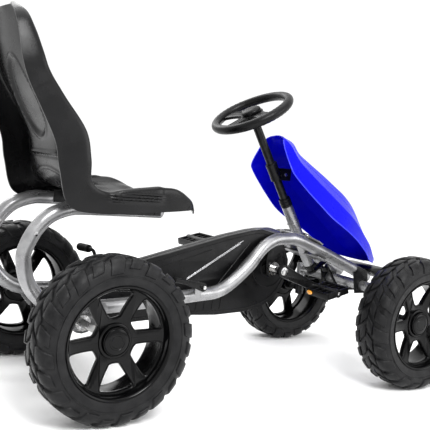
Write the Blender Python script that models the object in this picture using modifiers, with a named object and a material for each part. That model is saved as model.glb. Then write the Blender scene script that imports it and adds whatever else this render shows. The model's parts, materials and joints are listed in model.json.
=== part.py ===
"""Pedal go kart, metres, +Z up, forward is -Y, the kart's left is +X.

The chassis empty stands on the ground in the middle of the kart's length; every
piece is modelled in chassis coordinates, where Y = 0 is midway between the axles.
"""
import math

import bmesh
import bpy
from mathutils import Matrix, Vector

# ---- driving dimensions -------------------------------------------------
GAP = 0.0003              # clearance between touching pieces
WHEEL_R = 0.170           # tyre radius
AXLE_Y = 0.43625          # half the wheelbase
TRACK = 0.2686            # tyre centre from the middle plane
RIM_R = 0.1152            # rim flange radius
SEGS = 20                 # facets round a wheel
CENTRE_Y = -0.0110        # chassis origin to the middle of the overall length
TUBE_R = 0.016            # main frame tube
KING_X = 0.195            # kingpin axis
KING_ARM = 0.046          # steering arm, kingpin to track rod
BEAM_R, BEAM_Z = 0.0135, 0.228
CRANK_Y, CRANK_Z = -0.124, 0.2745
CRANK_ARM = 0.1125
CRANK_A = math.radians(21.1)      # rest angle of the right crank arm below -Y
PEDAL_X = 0.158           # middle of a pedal
CHAIN_X = -0.022          # chain plane
PITCH = 0.0127            # chain pitch
FRONT_T, REAR_T = 24, 14
REAR_SHAFT_R = 0.0085
COL_TOP = Vector((0, -0.069, 0.634))
COL_UP = Vector((0, 0.5336, 0.8456)).normalized()
COL_BACK = Vector((0, COL_UP.z, -COL_UP.y))
COL_R = 0.011
BORE_R = 0.0116            # the column is 12-sided: its corners clear the flats of these bores
WHEEL_S = 0.040           # steering wheel plane above the column's top point
BRAKE = Vector((0.135, 0.262, 0.232))   # hand brake pivot
GEAR = Vector((-0.118, 0.128, 0.240))   # drive lever pivot
FRONT_R = PITCH / (2 * math.sin(math.pi / FRONT_T))
REAR_R = PITCH / (2 * math.sin(math.pi / REAR_T))

for ob in list(bpy.data.objects):
    bpy.data.objects.remove(ob, do_unlink=True)

kart = bpy.data.collections.new("pedal_go_kart")
cutters = bpy.data.collections.new("cutters")
for c in (kart, cutters):
    bpy.context.scene.collection.children.link(c)


def material(name, rgb, rough, metal=0.0):
    m = bpy.data.materials.new(name)
    m.use_nodes = True
    b = m.node_tree.nodes["Principled BSDF"]
    b.inputs["Base Color"].default_value = (*rgb, 1)
    b.inputs["Roughness"].default_value = rough
    b.inputs["Metallic"].default_value = metal
    m.diffuse_color = (*rgb, 1)
    return m


FINISH = {
    "silver": ((0.62, 0.62, 0.62), 0.35, 0.7),
    "black_steel": ((0.02, 0.02, 0.02), 0.4, 0.3),
    "steel": ((0.55, 0.55, 0.55), 0.3, 1.0),
    "black_plastic": ((0.015, 0.015, 0.016), 0.45, 0.0),
    "gloss_black": ((0.008, 0.008, 0.009), 0.2, 0.0),
    "blue": ((0.004, 0.004, 0.55), 0.25, 0.0),
    "rubber": ((0.035, 0.035, 0.036), 0.8, 0.0),
    "amber": ((0.8, 0.35, 0.03), 0.2, 0.0),
}

# ---- pivots: the chassis, and one empty on each moving group's axis ------
PIVOTS = {}


def pivot(name, at, parent=None):
    e = bpy.data.objects.new(name, None)
    kart.objects.link(e)
    base = Vector((0, 0, 0)) if parent is None else PIVOTS[parent][1]
    e.location = Vector(at) - base if parent else Vector(at)
    if parent:
        e.parent = PIVOTS[parent][0]
    PIVOTS[name] = (e, Vector(at) if parent else Vector((0, 0, 0)))
    return e


def col(s, back=0.0, x=0.0):
    """A point s metres down the steering axis and back metres behind it."""
    return COL_TOP - COL_UP * s + COL_BACK * back + Vector((x, 0, 0))


pivot("chassis", (0, CENTRE_Y, 0))
pivot("pivot_steering", COL_TOP, "chassis")
for side, sx in (("right", -1), ("left", 1)):
    pivot("pivot_knuckle_" + side, (sx * KING_X, -AXLE_Y, BEAM_Z), "chassis")
    pivot("pivot_front_wheel_" + side, (sx * TRACK, -AXLE_Y, WHEEL_R), "pivot_knuckle_" + side)
pivot("pivot_track_rod", (-KING_X, -AXLE_Y - KING_ARM, 0.2058), "pivot_knuckle_right")
pivot("pivot_rear_axle", (0, AXLE_Y, WHEEL_R), "chassis")
pivot("pivot_crank", (0, CRANK_Y, CRANK_Z), "chassis")
PEDAL = {}
for side, sx in (("right", -1), ("left", 1)):
    out = Vector((0, sx * math.cos(CRANK_A), sx * math.sin(CRANK_A))) * CRANK_ARM
    PEDAL[side] = Vector((sx * PEDAL_X, CRANK_Y, CRANK_Z)) + out
    pivot("pivot_pedal_" + side, PEDAL[side], "pivot_crank")
pivot("pivot_brake_lever", BRAKE, "chassis")
pivot("pivot_gear_lever", GEAR, "chassis")
pivot("pivot_seat", (0, 0.33, 0.43), "chassis")

MATS = {}


def mesh_of(ob, merge=True):
    """The object's evaluated mesh, welded and with its faces pointing out; the object goes."""
    bpy.context.view_layer.update()
    dg = bpy.context.evaluated_depsgraph_get()
    me = bpy.data.meshes.new_from_object(ob.evaluated_get(dg))
    me.transform(ob.matrix_world)
    bm = bmesh.new()
    bm.from_mesh(me)
    bmesh.ops.remove_doubles(bm, verts=bm.verts, dist=2e-5)
    if merge:
        bmesh.ops.dissolve_limit(bm, angle_limit=0.0005, verts=bm.verts, edges=bm.edges)
    bmesh.ops.recalc_face_normals(bm, faces=bm.faces)
    bm.to_mesh(me)
    bm.free()
    bpy.data.objects.remove(ob, do_unlink=True)
    me.materials.clear()
    return me


def temp(data):
    ob = bpy.data.objects.new("shape", data)
    cutters.objects.link(ob)
    return ob


def along(a, b):
    """Matrix that puts local Z on the line from a to b, its origin halfway."""
    a, b = Vector(a), Vector(b)
    return Matrix.Translation((a + b) / 2) @ (b - a).to_track_quat("Z", "Y").to_matrix().to_4x4()


def rod(a, b, r, n=10, r2=None):
    bm = bmesh.new()
    depth = (Vector(b) - Vector(a)).length
    bmesh.ops.create_cone(bm, cap_ends=True, segments=n, radius1=r, radius2=r if r2 is None else r2, depth=depth)
    me = bpy.data.meshes.new("rod")
    bm.to_mesh(me)
    bm.free()
    me.transform(along(a, b))
    return me


def box(lo, hi):
    bm = bmesh.new()
    bmesh.ops.create_cube(bm, size=1.0)
    me = bpy.data.meshes.new("box")
    bm.to_mesh(me)
    bm.free()
    lo, hi = Vector(lo), Vector(hi)
    me.transform(Matrix.Translation((lo + hi) / 2) @ Matrix.Diagonal((*(hi - lo), 1)))
    return me


def turned(profile, n, a=(0, 0, 0), b=(0, 0, 1), turn=0.0):
    """A closed (r, z) outline turned about the line a to b; z runs from a."""
    me = bpy.data.meshes.new("profile")
    pts = [(r, 0, z) for r, z in profile]
    me.from_pydata(pts, [(i, (i + 1) % len(pts)) for i in range(len(pts))], [])
    ob = temp(me)
    s = ob.modifiers.new("turn", "SCREW")
    s.steps = s.render_steps = n
    s.use_merge_vertices = True
    s.merge_threshold = 0.00001
    s.use_smooth_shade = False
    a, b = Vector(a), Vector(b)
    ob.matrix_world = Matrix.Translation(a) @ (b - a).to_track_quat("Z", "Y").to_matrix().to_4x4() @ Matrix.Rotation(turn, 4, "Z")
    return mesh_of(ob)


def ring(a, b, ro, ri, n=12):
    h = (Vector(b) - Vector(a)).length
    return turned([(ri, 0), (ro, 0), (ro, h), (ri, h)], n, a, b)


def smooth_path(pts, per=3):
    """Catmull-Rom points through pts, per to each span."""
    p = [Vector(q) for q in pts]
    p = [2 * p[0] - p[1]] + p + [2 * p[-1] - p[-2]]
    out = []
    for i in range(1, len(p) - 2):
        for k in range(per):
            t = k / per
            out.append(0.5 * ((2 * p[i]) + (p[i + 1] - p[i - 1]) * t
                              + (2 * p[i - 1] - 5 * p[i] + 4 * p[i + 1] - p[i + 2]) * t * t
                              + (3 * p[i] - p[i - 1] - 3 * p[i + 1] + p[i + 2]) * t ** 3))
    out.append(p[-2])
    return out


def tube(points, r, res=2, cyclic=False):
    cu = bpy.data.curves.new("path", "CURVE")
    cu.dimensions = "3D"
    cu.bevel_depth = r
    cu.bevel_resolution = res
    cu.use_fill_caps = not cyclic
    cu.render_resolution_u = 0
    sp = cu.splines.new("POLY")
    sp.points.add(len(points) - 1)
    for q, v in zip(sp.points, points):
        q.co = (*v, 1)
    sp.use_cyclic_u = cyclic
    return mesh_of(temp(cu))


def plate(outline, thick, place, holes=()):
    """A flat outline, with round or free-form holes, thick along local Z and centred on it."""
    cu = bpy.data.curves.new("outline", "CURVE")
    cu.dimensions = "2D"
    cu.fill_mode = "BOTH"
    cu.extrude = thick / 2
    cu.render_resolution_u = 0
    for loop in [outline] + list(holes):
        sp = cu.splines.new("POLY")
        sp.points.add(len(loop) - 1)
        for q, v in zip(sp.points, loop):
            q.co = (v[0], v[1], 0, 1)
        sp.use_cyclic_u = True
    ob = temp(cu)
    ob.matrix_world = place
    return mesh_of(ob)


def circle(x, y, r, n=12, start=0.0):
    return [(x + r * math.cos(start + 2 * math.pi * k / n), y + r * math.sin(start + 2 * math.pi * k / n)) for k in range(n)]


def hull2(c1, r1, c2, r2, n=6):
    """A link's outline round two circles."""
    (x1, y1), (x2, y2) = c1, c2
    a = math.atan2(y2 - y1, x2 - x1)
    b = math.acos((r1 - r2) / math.hypot(x2 - x1, y2 - y1))
    one = [a + b + (2 * math.pi - 2 * b) * k / n for k in range(n + 1)]
    two = [a - b + 2 * b * k / n for k in range(n + 1)]
    return [(x1 + r1 * math.cos(t), y1 + r1 * math.sin(t)) for t in one] + [(x2 + r2 * math.cos(t), y2 + r2 * math.sin(t)) for t in two]


def yz(x):
    """Local X, Y, Z to +Y, +Z, +X at this x."""
    return Matrix(((0, 0, 1, x), (1, 0, 0, 0), (0, 1, 0, 0), (0, 0, 0, 1)))


def xy(z):
    return Matrix.Translation((0, 0, z))


def boolean(base, others, how, merge=True):
    """One mesh from base with the others joined to it or cut from it."""
    ob = temp(base)
    extra = []
    for me in others:
        c = temp(me)
        c.hide_render = True
        c.display_type = "WIRE"
        extra.append(c)
        m = ob.modifiers.new(how, "BOOLEAN")
        m.operation = how
        m.object = c
        m.solver = "EXACT"
    out = mesh_of(ob, merge)
    for c in extra:
        bpy.data.objects.remove(c, do_unlink=True)
    return out


def join(base, *others):
    return boolean(base, others, "UNION")


def cut(base, *others):
    return boolean(base, others, "DIFFERENCE")


def node(name, me, finish, group="chassis", smooth=30):
    """The named piece: its mesh moves to its group's pivot, which carries it."""
    empty, at = PIVOTS[group]
    me.transform(Matrix.Translation(-at))
    me.name = name
    if finish not in MATS:
        MATS[finish] = 0
    mat = material(name + "_finish", *FINISH[finish])
    me.materials.append(mat)
    me.shade_smooth()
    me.set_sharp_from_angle(angle=math.radians(smooth))
    ob = bpy.data.objects.new(name, me)
    kart.objects.link(ob)
    ob.parent = empty
    return ob


def flip(me, side):
    """Mirrored to the other side of the middle plane for the left."""
    if side == "left":
        me.transform(Matrix.Diagonal((-1, 1, 1, 1)))
        me.flip_normals()
    return me


# ---- main frame: one bent tube each side ---------------------------------
TUBE = [(0.115, 0.262, 0.4158), (0.115, 0.36, 0.4158), (0.115, 0.440, 0.4158), (0.115, 0.480, 0.4130), (0.115, 0.5225, 0.396), (0.115, 0.553, 0.364),
        (0.115, 0.5715, 0.3235), (0.115, 0.5725, 0.2985), (0.115, 0.5625, 0.261), (0.115, 0.541, 0.230),
        (0.115, 0.508, 0.207), (0.115, 0.465, 0.1985), (0.113, 0.400, 0.199), (0.105, 0.315, 0.2025),
        (0.090, 0.200, 0.209), (0.080, 0.110, 0.2145), (0.0745, 0.062, 0.2185), (0.070, 0.020, 0.236),
        (0.065, -0.037, 0.280), (0.060, -0.080, 0.3255), (0.0565, -0.118, 0.3465), (0.055, -0.160, 0.352),
        (0.055, -0.210, 0.3465), (0.055, -0.358, 0.292), (0.055, -0.464, 0.249)]
for side, sx in (("right", -1), ("left", 1)):
    path = [Vector((sx * x, y, z)) for x, y, z in TUBE]
    # welded to it: rear axle bracket, crank hanger, front beam cheek and a lever boss
    axle = plate([(0.385, 0.2135), (0.377, 0.196), (0.412, 0.155), (0.424, 0.148), (0.436, 0.146), (0.448, 0.148), (0.460, 0.155), (0.494, 0.196), (0.485, 0.2115), (0.455, 0.2085)], 0.005, yz(sx * 0.1275))
    crank = plate([(-0.152, 0.3450), (-0.105, 0.3350), (-0.1005, 0.300)] + [(CRANK_Y + 0.022 * math.cos(t), CRANK_Z + 0.022 * math.sin(t)) for t in [math.radians(a) for a in (0, -35, -70, -110, -145, -180)]] + [(-0.149, 0.300)], 0.004, yz(sx * 0.0560))
    cheek = plate([(-0.462, 0.206), (-0.412, 0.206), (-0.400, 0.262), (-0.415, 0.282), (-0.452, 0.268)], 0.004, yz(sx * 0.0690))
    at = BRAKE if side == "left" else GEAR
    ty, tz, tx = (at.y, 0.206, 0.1120) if side == "left" else (at.y, 0.214, 0.0955)
    tab = plate(hull2((at.y, at.z), 0.0090, (ty, tz), 0.0090), 0.006, yz(sx * tx))
    boss = [rod((sx * tx, at.y, at.z), (sx * (abs(at.x) - 0.0045), at.y, at.z), 0.0090, 8), rod((sx * tx, at.y, at.z), (sx * (abs(at.x) + 0.0090), at.y, at.z), 0.0045, 8)]
    frame = join(tube(path, TUBE_R, 2), axle, crank, cheek, tab, *boss)
    node("main_tube_" + side, cut(frame, rod((sx * 0.1, AXLE_Y, WHEEL_R), (sx * 0.16, AXLE_Y, WHEEL_R), 0.0143, 12), rod((sx * 0.04, CRANK_Y, CRANK_Z), (sx * 0.07, CRANK_Y, CRANK_Z), 0.0133, 12),
                                  rod((sx * 0.05, -AXLE_Y, BEAM_Z), (sx * 0.1, -AXLE_Y, BEAM_Z), BEAM_R + GAP, 12)), "silver")

# steering head: a tube through a plate that lies on both main tubes
slope = (Vector((0, -0.270, 0.3244)) - Vector((0, -0.205, 0.3478))).normalized()
up = Vector((0, -slope.z, slope.y)) * -1
mid = Vector((0, -0.2415, 0.3350)) + up * (TUBE_R + 0.0029)
place = Matrix((( 1, 0, 0, 0), (0, slope.y, up.y, mid.y), (0, slope.z, up.z, mid.z), (0, 0, 0, 1)))
top = plate([(-0.071, -0.030), (0.071, -0.030), (0.071, 0.034), (0.040, 0.046), (-0.040, 0.046), (-0.071, 0.034)], 0.004, place)
node("steering_collar", turned([(BORE_R, 0), (0.0158, 0), (0.0158, 0.006), (0.0140, 0.0075), (0.0158, 0.009), (0.0158, 0.015), (0.0140, 0.0165), (0.0158, 0.018), (0.0150, 0.0232), (BORE_R, 0.0232)], 12, col(0.2352), col(0.2)), "black_plastic")
node("lower_bush", turned([(BORE_R, 0), (0.0165, 0), (0.0165, 0.004), (0.0125, 0.0045), (0.0125, 0.022), (BORE_R, 0.022)], 12, col(0.4270), col(0.40)), "black_plastic")
lower = plate([(-0.071, -0.020), (0.071, -0.020), (0.071, 0.020), (-0.071, 0.020)], 0.004,
              Matrix(((1, 0, 0, 0), (0, slope.y, up.y, -0.2865 - up.y * 0.0182), (0, slope.z, up.z, 0.3184 - up.z * 0.0182), (0, 0, 0, 1))))
head = join(rod(col(0.2355), col(0.4225), 0.0150, 12), top, lower)
node("steering_head", cut(head, rod(col(0.22), col(0.44), 0.0128, 12)), "silver")

# front beam with a kingpin bush at each end, hung on two cheek plates
beam = join(rod((-KING_X, -AXLE_Y, BEAM_Z), (KING_X, -AXLE_Y, BEAM_Z), BEAM_R, 12),
            *[rod((s * KING_X, -AXLE_Y, 0.2075), (s * KING_X, -AXLE_Y, 0.2485), BEAM_R, 12) for s in (-1, 1)])
node("front_beam", cut(beam, *[rod((s * KING_X, -AXLE_Y, 0.19), (s * KING_X, -AXLE_Y, 0.27), 0.0073, 12) for s in (-1, 1)]), "silver")
# rear bearings in the axle brackets
for side, sx in (("right", -1), ("left", 1)):
    node("rear_bearing_" + side, turned([(REAR_SHAFT_R + GAP, 0), (0.0140, 0), (0.0140, 0.0056), (0.0180, 0.0059), (0.0180, 0.0095), (REAR_SHAFT_R + GAP, 0.0095)], 12, (sx * 0.1250, AXLE_Y, WHEEL_R), (sx * 0.20, AXLE_Y, WHEEL_R)), "steel")

# crank bearings in the hangers below the arch
for side, sx in (("right", -1), ("left", 1)):
    node("crank_bearing_" + side, turned([(0.0083, 0), (0.0130, 0), (0.0130, 0.0046), (0.0170, 0.0049), (0.0170, 0.0085), (0.0083, 0.0085)], 12, (sx * 0.0538, CRANK_Y, CRANK_Z), (sx * 0.09, CRANK_Y, CRANK_Z)), "steel")

# ---- wheels ---------------------------------------------------------------
HALF = math.pi / SEGS
CR = 1 / math.cos(HALF)   # corner radius from flat radius


def wheel_ring(points, both=True):
    pts = [(r * CR, x) for r, x in points]
    return pts


TYRE = [(0.1090, 0.0430), (0.1158, 0.0450), (0.1370, 0.0527), (0.1600, 0.0470), (0.1700, 0.0260)]
INSIDE = [(0.1625, 0.0230), (0.1150, 0.0380)]
tyre_loop = wheel_ring([(r, -x) for r, x in TYRE] + [(r, x) for r, x in reversed(TYRE)] + [(r, x) for r, x in reversed(INSIDE)] + [(r, -x) for r, x in INSIDE])
BARREL = [(0.1152, 0.0480), (0.1085, 0.0436), (0.1085, -0.0436), (0.1152, -0.0480), (0.1045, -0.0430), (0.1045, 0.0430)]
windows = []
for k in range(6):
    a0 = math.radians(60 * k + 5)
    pts = []
    for r, half in ((0.047, 9), (0.080, 20), (0.098, 19)):
        pts.append((r, a0 - math.radians(half)))
    for r, half in ((0.098, 19), (0.080, 20), (0.047, 9)):
        pts.append((r, a0 + math.radians(half)))
    windows.append([(r * math.cos(t), r * math.sin(t)) for r, t in pts])


def rim_mesh(bore):
    """Barrel, six-spoke disc and hub in one, outer face towards +Z."""
    barrel = turned(wheel_ring(BARREL), SEGS, turn=HALF)
    disc = plate(circle(0, 0, 0.1065, SEGS, HALF), 0.012, xy(0.0110), [circle(0, 0, 0.033, 12)] + windows)
    hub = turned([(bore, -0.025), (0.018, -0.025), (0.018, -0.004), (0.036, -0.004), (0.036, 0.0200), (0.0305, 0.0200), (0.0305, 0.0100), (bore, 0.0100)], 12)
    return join(barrel, disc, hub)


def tyre_mesh():
    return turned(tyre_loop, SEGS, turn=HALF)


def cap_mesh():
    """Hub cap, a shallow cup with a stepped face."""
    return turned([(0.0, 0.0285), (0.0, 0.0262), (0.0266, 0.0262), (0.0266, 0.0104), (0.0295, 0.0104), (0.0295, 0.0262), (0.0270, 0.0285)], 12)


def nut(x0, x1, y, across, bore):
    """Hexagon nut on a line along X."""
    return plate(circle(y, WHEEL_R, across, 6), abs(x1 - x0), yz((x0 + x1) / 2), [circle(y, WHEEL_R, bore, 10)])


def to_wheel(me, sx, y):
    """Local +Z to the wheel's outer side."""
    m = Matrix(((0, 0, sx, sx * TRACK), (0, 1, 0, y), (-sx, 0, 0, WHEEL_R), (0, 0, 0, 1)))
    me = me.copy()
    me.transform(m)
    return me


tyre, cap = tyre_mesh(), cap_mesh()
front_rim, rear_rim = rim_mesh(0.0063), rim_mesh(REAR_SHAFT_R + GAP)
for side, sx in (("right", -1), ("left", 1)):
    for end, y, rim, group in (("front", -AXLE_Y, front_rim, "pivot_front_wheel_" + side), ("rear", AXLE_Y, rear_rim, "pivot_rear_axle")):
        tag = end + "_" + side
        node("tyre_" + tag, to_wheel(tyre, sx, y), "rubber", group)
        node("rim_" + tag, to_wheel(rim, sx, y), "gloss_black", group)
        node("hub_cap_" + tag, to_wheel(cap, sx, y), "gloss_black", group)
    x0 = sx * TRACK
    # nuts inside the hub caps: the front one stays with its stub axle
    node("front_nut_" + side, nut(x0 + sx * 0.0106, x0 + sx * 0.0180, -AXLE_Y, 0.0110, 0.0067), "steel", "pivot_knuckle_" + side)
    node("rear_nut_" + side, nut(x0 + sx * 0.0106, x0 + sx * 0.0190, AXLE_Y, 0.0145, REAR_SHAFT_R + 0.0007), "steel", "pivot_rear_axle")
node("rear_axle", rod((-TRACK - 0.0215, AXLE_Y, WHEEL_R), (TRACK + 0.0215, AXLE_Y, WHEEL_R), REAR_SHAFT_R, 12), "steel", "pivot_rear_axle")

# ---- front knuckles and track rod ------------------------------------------
for side, sx in (("right", -1), ("left", 1)):
    k = Vector((sx * KING_X, -AXLE_Y, 0))
    z = lambda h: k + Vector((0, 0, h))
    arm = plate(hull2((k.x, k.y), 0.0105, (k.x, k.y - KING_ARM), 0.0085), 0.005, xy(0.1985))
    body = join(rod(z(0.150), z(0.2500), 0.0070, 10), rod(z(0.152), z(0.2060), 0.0120, 10),
                rod(k + Vector((0, 0, WHEEL_R)), (sx * (TRACK - 0.0256), k.y, WHEEL_R), 0.0100, 8),
                rod(k + Vector((0, 0, WHEEL_R)), (sx * (TRACK + 0.0215), k.y, WHEEL_R), 0.0060, 10),
                arm, rod(z(0.2492), z(0.2550), 0.0110, 10), rod((k.x, k.y - KING_ARM, 0.1975), (k.x, k.y - KING_ARM, 0.2145), 0.0040, 10))
    node("knuckle_" + side, body, "black_steel", "pivot_knuckle_" + side)
ty = -AXLE_Y - KING_ARM
eye = lambda x: rod((x, ty, 0.2014), (x, ty, 0.2102), 0.0090, 10)
pin_mid = col(0.4400 + 0.0245, -KING_ARM)
tongue = tube(smooth_path([(0, ty, 0.2045), (0, -0.455, 0.2045), (0, -0.418, 0.2045), tuple(pin_mid + Vector((0, -0.009, 0.0015)))], 2), 0.0040, 2)
rodm = join(rod((-KING_X, ty, 0.2062), (KING_X, ty, 0.2062), 0.0042, 8), eye(-KING_X), eye(KING_X), tongue,
            rod(pin_mid - COL_UP * 0.006, pin_mid + COL_UP * 0.006, 0.0100, 10))
node("track_rod", cut(rodm, *[rod((s * KING_X, ty, 0.19), (s * KING_X, ty, 0.22), 0.0046, 10) for s in (-1, 1)],
                      rod(pin_mid - COL_UP * 0.02, pin_mid + COL_UP * 0.02, 0.0060, 10)), "black_steel", "pivot_track_rod")

# ---- steering column, pitman arm and wheel ----------------------------------
node("steering_column", rod(col(-0.006), col(0.4430), COL_R, 12), "black_steel", "pivot_steering")
P = col(0.4460)
pm = Matrix(((1, 0, 0, 0), (0, -COL_BACK.y, COL_UP.y, P.y), (0, -COL_BACK.z, COL_UP.z, P.z), (0, 0, 0, 1)))
arm = plate(hull2((0, 0), 0.0135, (0, KING_ARM), 0.0090), 0.0055, pm)
node("pitman_arm", join(arm, rod(col(0.446, -KING_ARM), col(0.4740, -KING_ARM), 0.0040, 10)), "black_steel", "pivot_steering")

wc = COL_TOP + COL_UP * WHEEL_S
wm = Matrix(((1, 0, 0, 0), (0, COL_BACK.y, COL_UP.y, wc.y), (0, COL_BACK.z, COL_UP.z, wc.z), (0, 0, 0, 1)))
RIM_C = 0.1005


def on_wheel(x, y, z=0.0):
    return wm @ Vector((x, y, z))


rimpts = []
for i in range(20):
    t = 2 * math.pi * i / 20
    r = RIM_C * (1 - 0.05 * max(0.0, math.sin(t)) ** 3)
    rimpts.append(on_wheel(r * math.cos(t), r * math.sin(t)))
spokes = []
for a in (math.radians(8), math.radians(172), math.radians(90)):
    d = Vector((math.cos(a), math.sin(a)))
    n = Vector((-d.y, d.x))
    r = RIM_C * (0.955 if abs(a - math.pi / 2) < 0.1 else 1.0)
    pts = [d * 0.0255 + n * 0.011, d * 0.06 + n * 0.010, d * r + n * 0.014, d * r - n * 0.014, d * 0.06 - n * 0.010, d * 0.0255 - n * 0.011]
    spokes.append(plate([tuple(p) for p in pts], 0.008, wm @ Matrix.Translation((0, 0, -0.003))))
hubm = plate(circle(0, 0, 0.030, 12), 0.0155, wm @ Matrix.Translation((0, 0, -0.0067)))
wheel = join(tube(rimpts, 0.0125, 1, True), *spokes, hubm, rod(col(-0.006 - GAP), col(-0.034), 0.016, 12))
node("steering_wheel", wheel, "black_plastic", "pivot_steering")
node("horn_pad", turned([(0.0, 0.0013), (0.026, 0.0013), (0.026, 0.009), (0.020, 0.0130), (0.0, 0.0130)], 12, on_wheel(0, 0), on_wheel(0, 0, 1)), "black_plastic", "pivot_steering")

# ---- fairing and its carrier -------------------------------------------------
RIDGE = [(-0.142, 0.618), (-0.185, 0.603), (-0.209, 0.576), (-0.245, 0.554), (-0.300, 0.523), (-0.345, 0.496), (-0.382, 0.473),
         (-0.414, 0.446), (-0.440, 0.415), (-0.462, 0.381), (-0.485, 0.350), (-0.505, 0.320), (-0.520, 0.300), (-0.531, 0.285)]
EDGE = [(0.035, -0.131, 0.610), (0.055, -0.126, 0.582), (0.085, -0.127, 0.540), (0.092, -0.138, 0.520), (0.102, -0.175, 0.484),
        (0.112, -0.212, 0.452), (0.120, -0.250, 0.421), (0.124, -0.290, 0.397), (0.119, -0.327, 0.378), (0.111, -0.368, 0.354),
        (0.099, -0.410, 0.325), (0.080, -0.444, 0.301), (0.050, -0.488, 0.290), (0.012, -0.526, 0.284)]


def fairing_row(i):
    (ry, rz), e = RIDGE[i], Vector(EDGE[i])
    r = Vector((0, ry, rz))
    w = e.x
    front = r + Vector((0.16 * w, 0.004 * (w / 0.1), 0))
    span = e - front
    out = Vector((0.75, -0.5, 0.35)).normalized()
    mid = front + span * 0.55 + out * 0.012 * min(1, w / 0.09)
    return [e, mid, front, r]


def shell(rows, thick, smooth=False):
    """A half sheet of rows that end on the middle plane, mirrored and thickened."""
    nr, nc = len(rows), len(rows[0])
    me = bpy.data.meshes.new("sheet")
    me.from_pydata([tuple(p) for row in rows for p in row], [],
                   [(i * nc + j, i * nc + j + 1, (i + 1) * nc + j + 1, (i + 1) * nc + j) for i in range(nr - 1) for j in range(nc - 1)])
    ob = temp(me)
    m = ob.modifiers.new("mirror", "MIRROR")
    m.use_clip = True
    m.merge_threshold = 0.0001
    s = ob.modifiers.new("wall", "SOLIDIFY")
    s.thickness = thick
    s.offset = 0
    s.use_even_offset = True
    return mesh_of(ob)


node("fairing", shell([fairing_row(i) for i in range(14)], 0.003), "blue")
clamp = join(rod(col(0.106), col(0.154), 0.0155, 12), box((-0.011, -0.189, 0.502), (0.011, -0.150, 0.534)))
node("fairing_clamp", cut(clamp, rod(col(0.09), col(0.17), BORE_R, 12)), "black_plastic")
node("nose_cover", cut(plate([(-0.560, 0.262), (-0.548, 0.250), (-0.500, 0.246), (-0.470, 0.262), (-0.452, 0.2735), (-0.470, 0.2785), (-0.545, 0.2765)], 0.150, yz(0)),
                       *[rod((s * 0.055, -0.40, 0.2755), (s * 0.055, -0.4720, 0.2458), TUBE_R + 0.0008, 10) for s in (-1, 1)]), "black_plastic")

# ---- seat ---------------------------------------------------------------------
# centre line, half width, rim rise towards the sitter, flange depth away from the sitter
SEAT = [((0.172, 0.4195), 0.108, 0.001, 0.004), ((0.187, 0.4300), 0.132, 0.002, 0.009), ((0.212, 0.4400), 0.150, 0.009, 0.026), ((0.260, 0.4410), 0.161, 0.0275, 0.0485),
        ((0.340, 0.4385), 0.163, 0.0235, 0.048), ((0.420, 0.4430), 0.163, 0.0105, 0.045), ((0.468, 0.4620), 0.163, 0.0135, 0.0675), ((0.494, 0.5100), 0.163, 0.0292, 0.070),
        ((0.509, 0.5650), 0.160, 0.030, 0.0685), ((0.545, 0.6300), 0.151, 0.0198, 0.0545), ((0.572, 0.6800), 0.143, 0.0137, 0.0475),
        ((0.5875, 0.7200), 0.137, 0.0125, 0.0438), ((0.600, 0.7600), 0.125, 0.010, 0.034), ((0.6085, 0.7980), 0.108, 0.006, 0.0260), ((0.6150, 0.8200), 0.066, 0.000, 0.010)]


def seat_row(i):
    (y, z), w, rise, depth = SEAT[i]
    a = Vector((SEAT[max(i - 1, 0)][0]))
    b = Vector((SEAT[min(i + 1, len(SEAT) - 1)][0]))
    t = (b - a).normalized()
    n = Vector((-t.y, t.x))            # towards the sitter
    if i == 0:
        n = Vector((0, 1))
    p = lambda x, k: Vector((x, y + n.x * k, z + n.y * k))
    return [p(w + 0.004, rise - depth), p(w + 0.004, rise - 0.006), p(w - 0.004, rise), p(w * 0.86, rise * 0.55), p(w * 0.5, 0.0), p(0, -0.002)]


node("seat_shell", shell([seat_row(i) for i in range(len(SEAT))], 0.004), "black_plastic", "pivot_seat")
for side, sx in (("right", -1), ("left", 1)):
    # a channel that straddles the main tube: top plate with two webs, and the bolts that hold the seat
    def slab(x0, x1, z0, z1):
        return plate([(x0, 0.270), (x1, 0.270), (x1, 0.430), (x0, 0.430)], z1 - z0, xy((z0 + z1) / 2))
    webs = [slab(*sorted((sx * a, sx * b)), 0.4060, 0.4350) for a, b in ((0.0965, 0.0983), (0.1317, 0.1335))]
    bolts = [rod((sx * 0.1420, y, 0.4350), (sx * 0.1420, y, 0.4090), 0.0060, 12) for y in (0.290, 0.399)]
    node("seat_rail_" + side, join(slab(*sorted((sx * 0.0955, sx * 0.1500)), 0.4338, 0.4364), *webs, *bolts), "black_steel", "pivot_seat")

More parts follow.
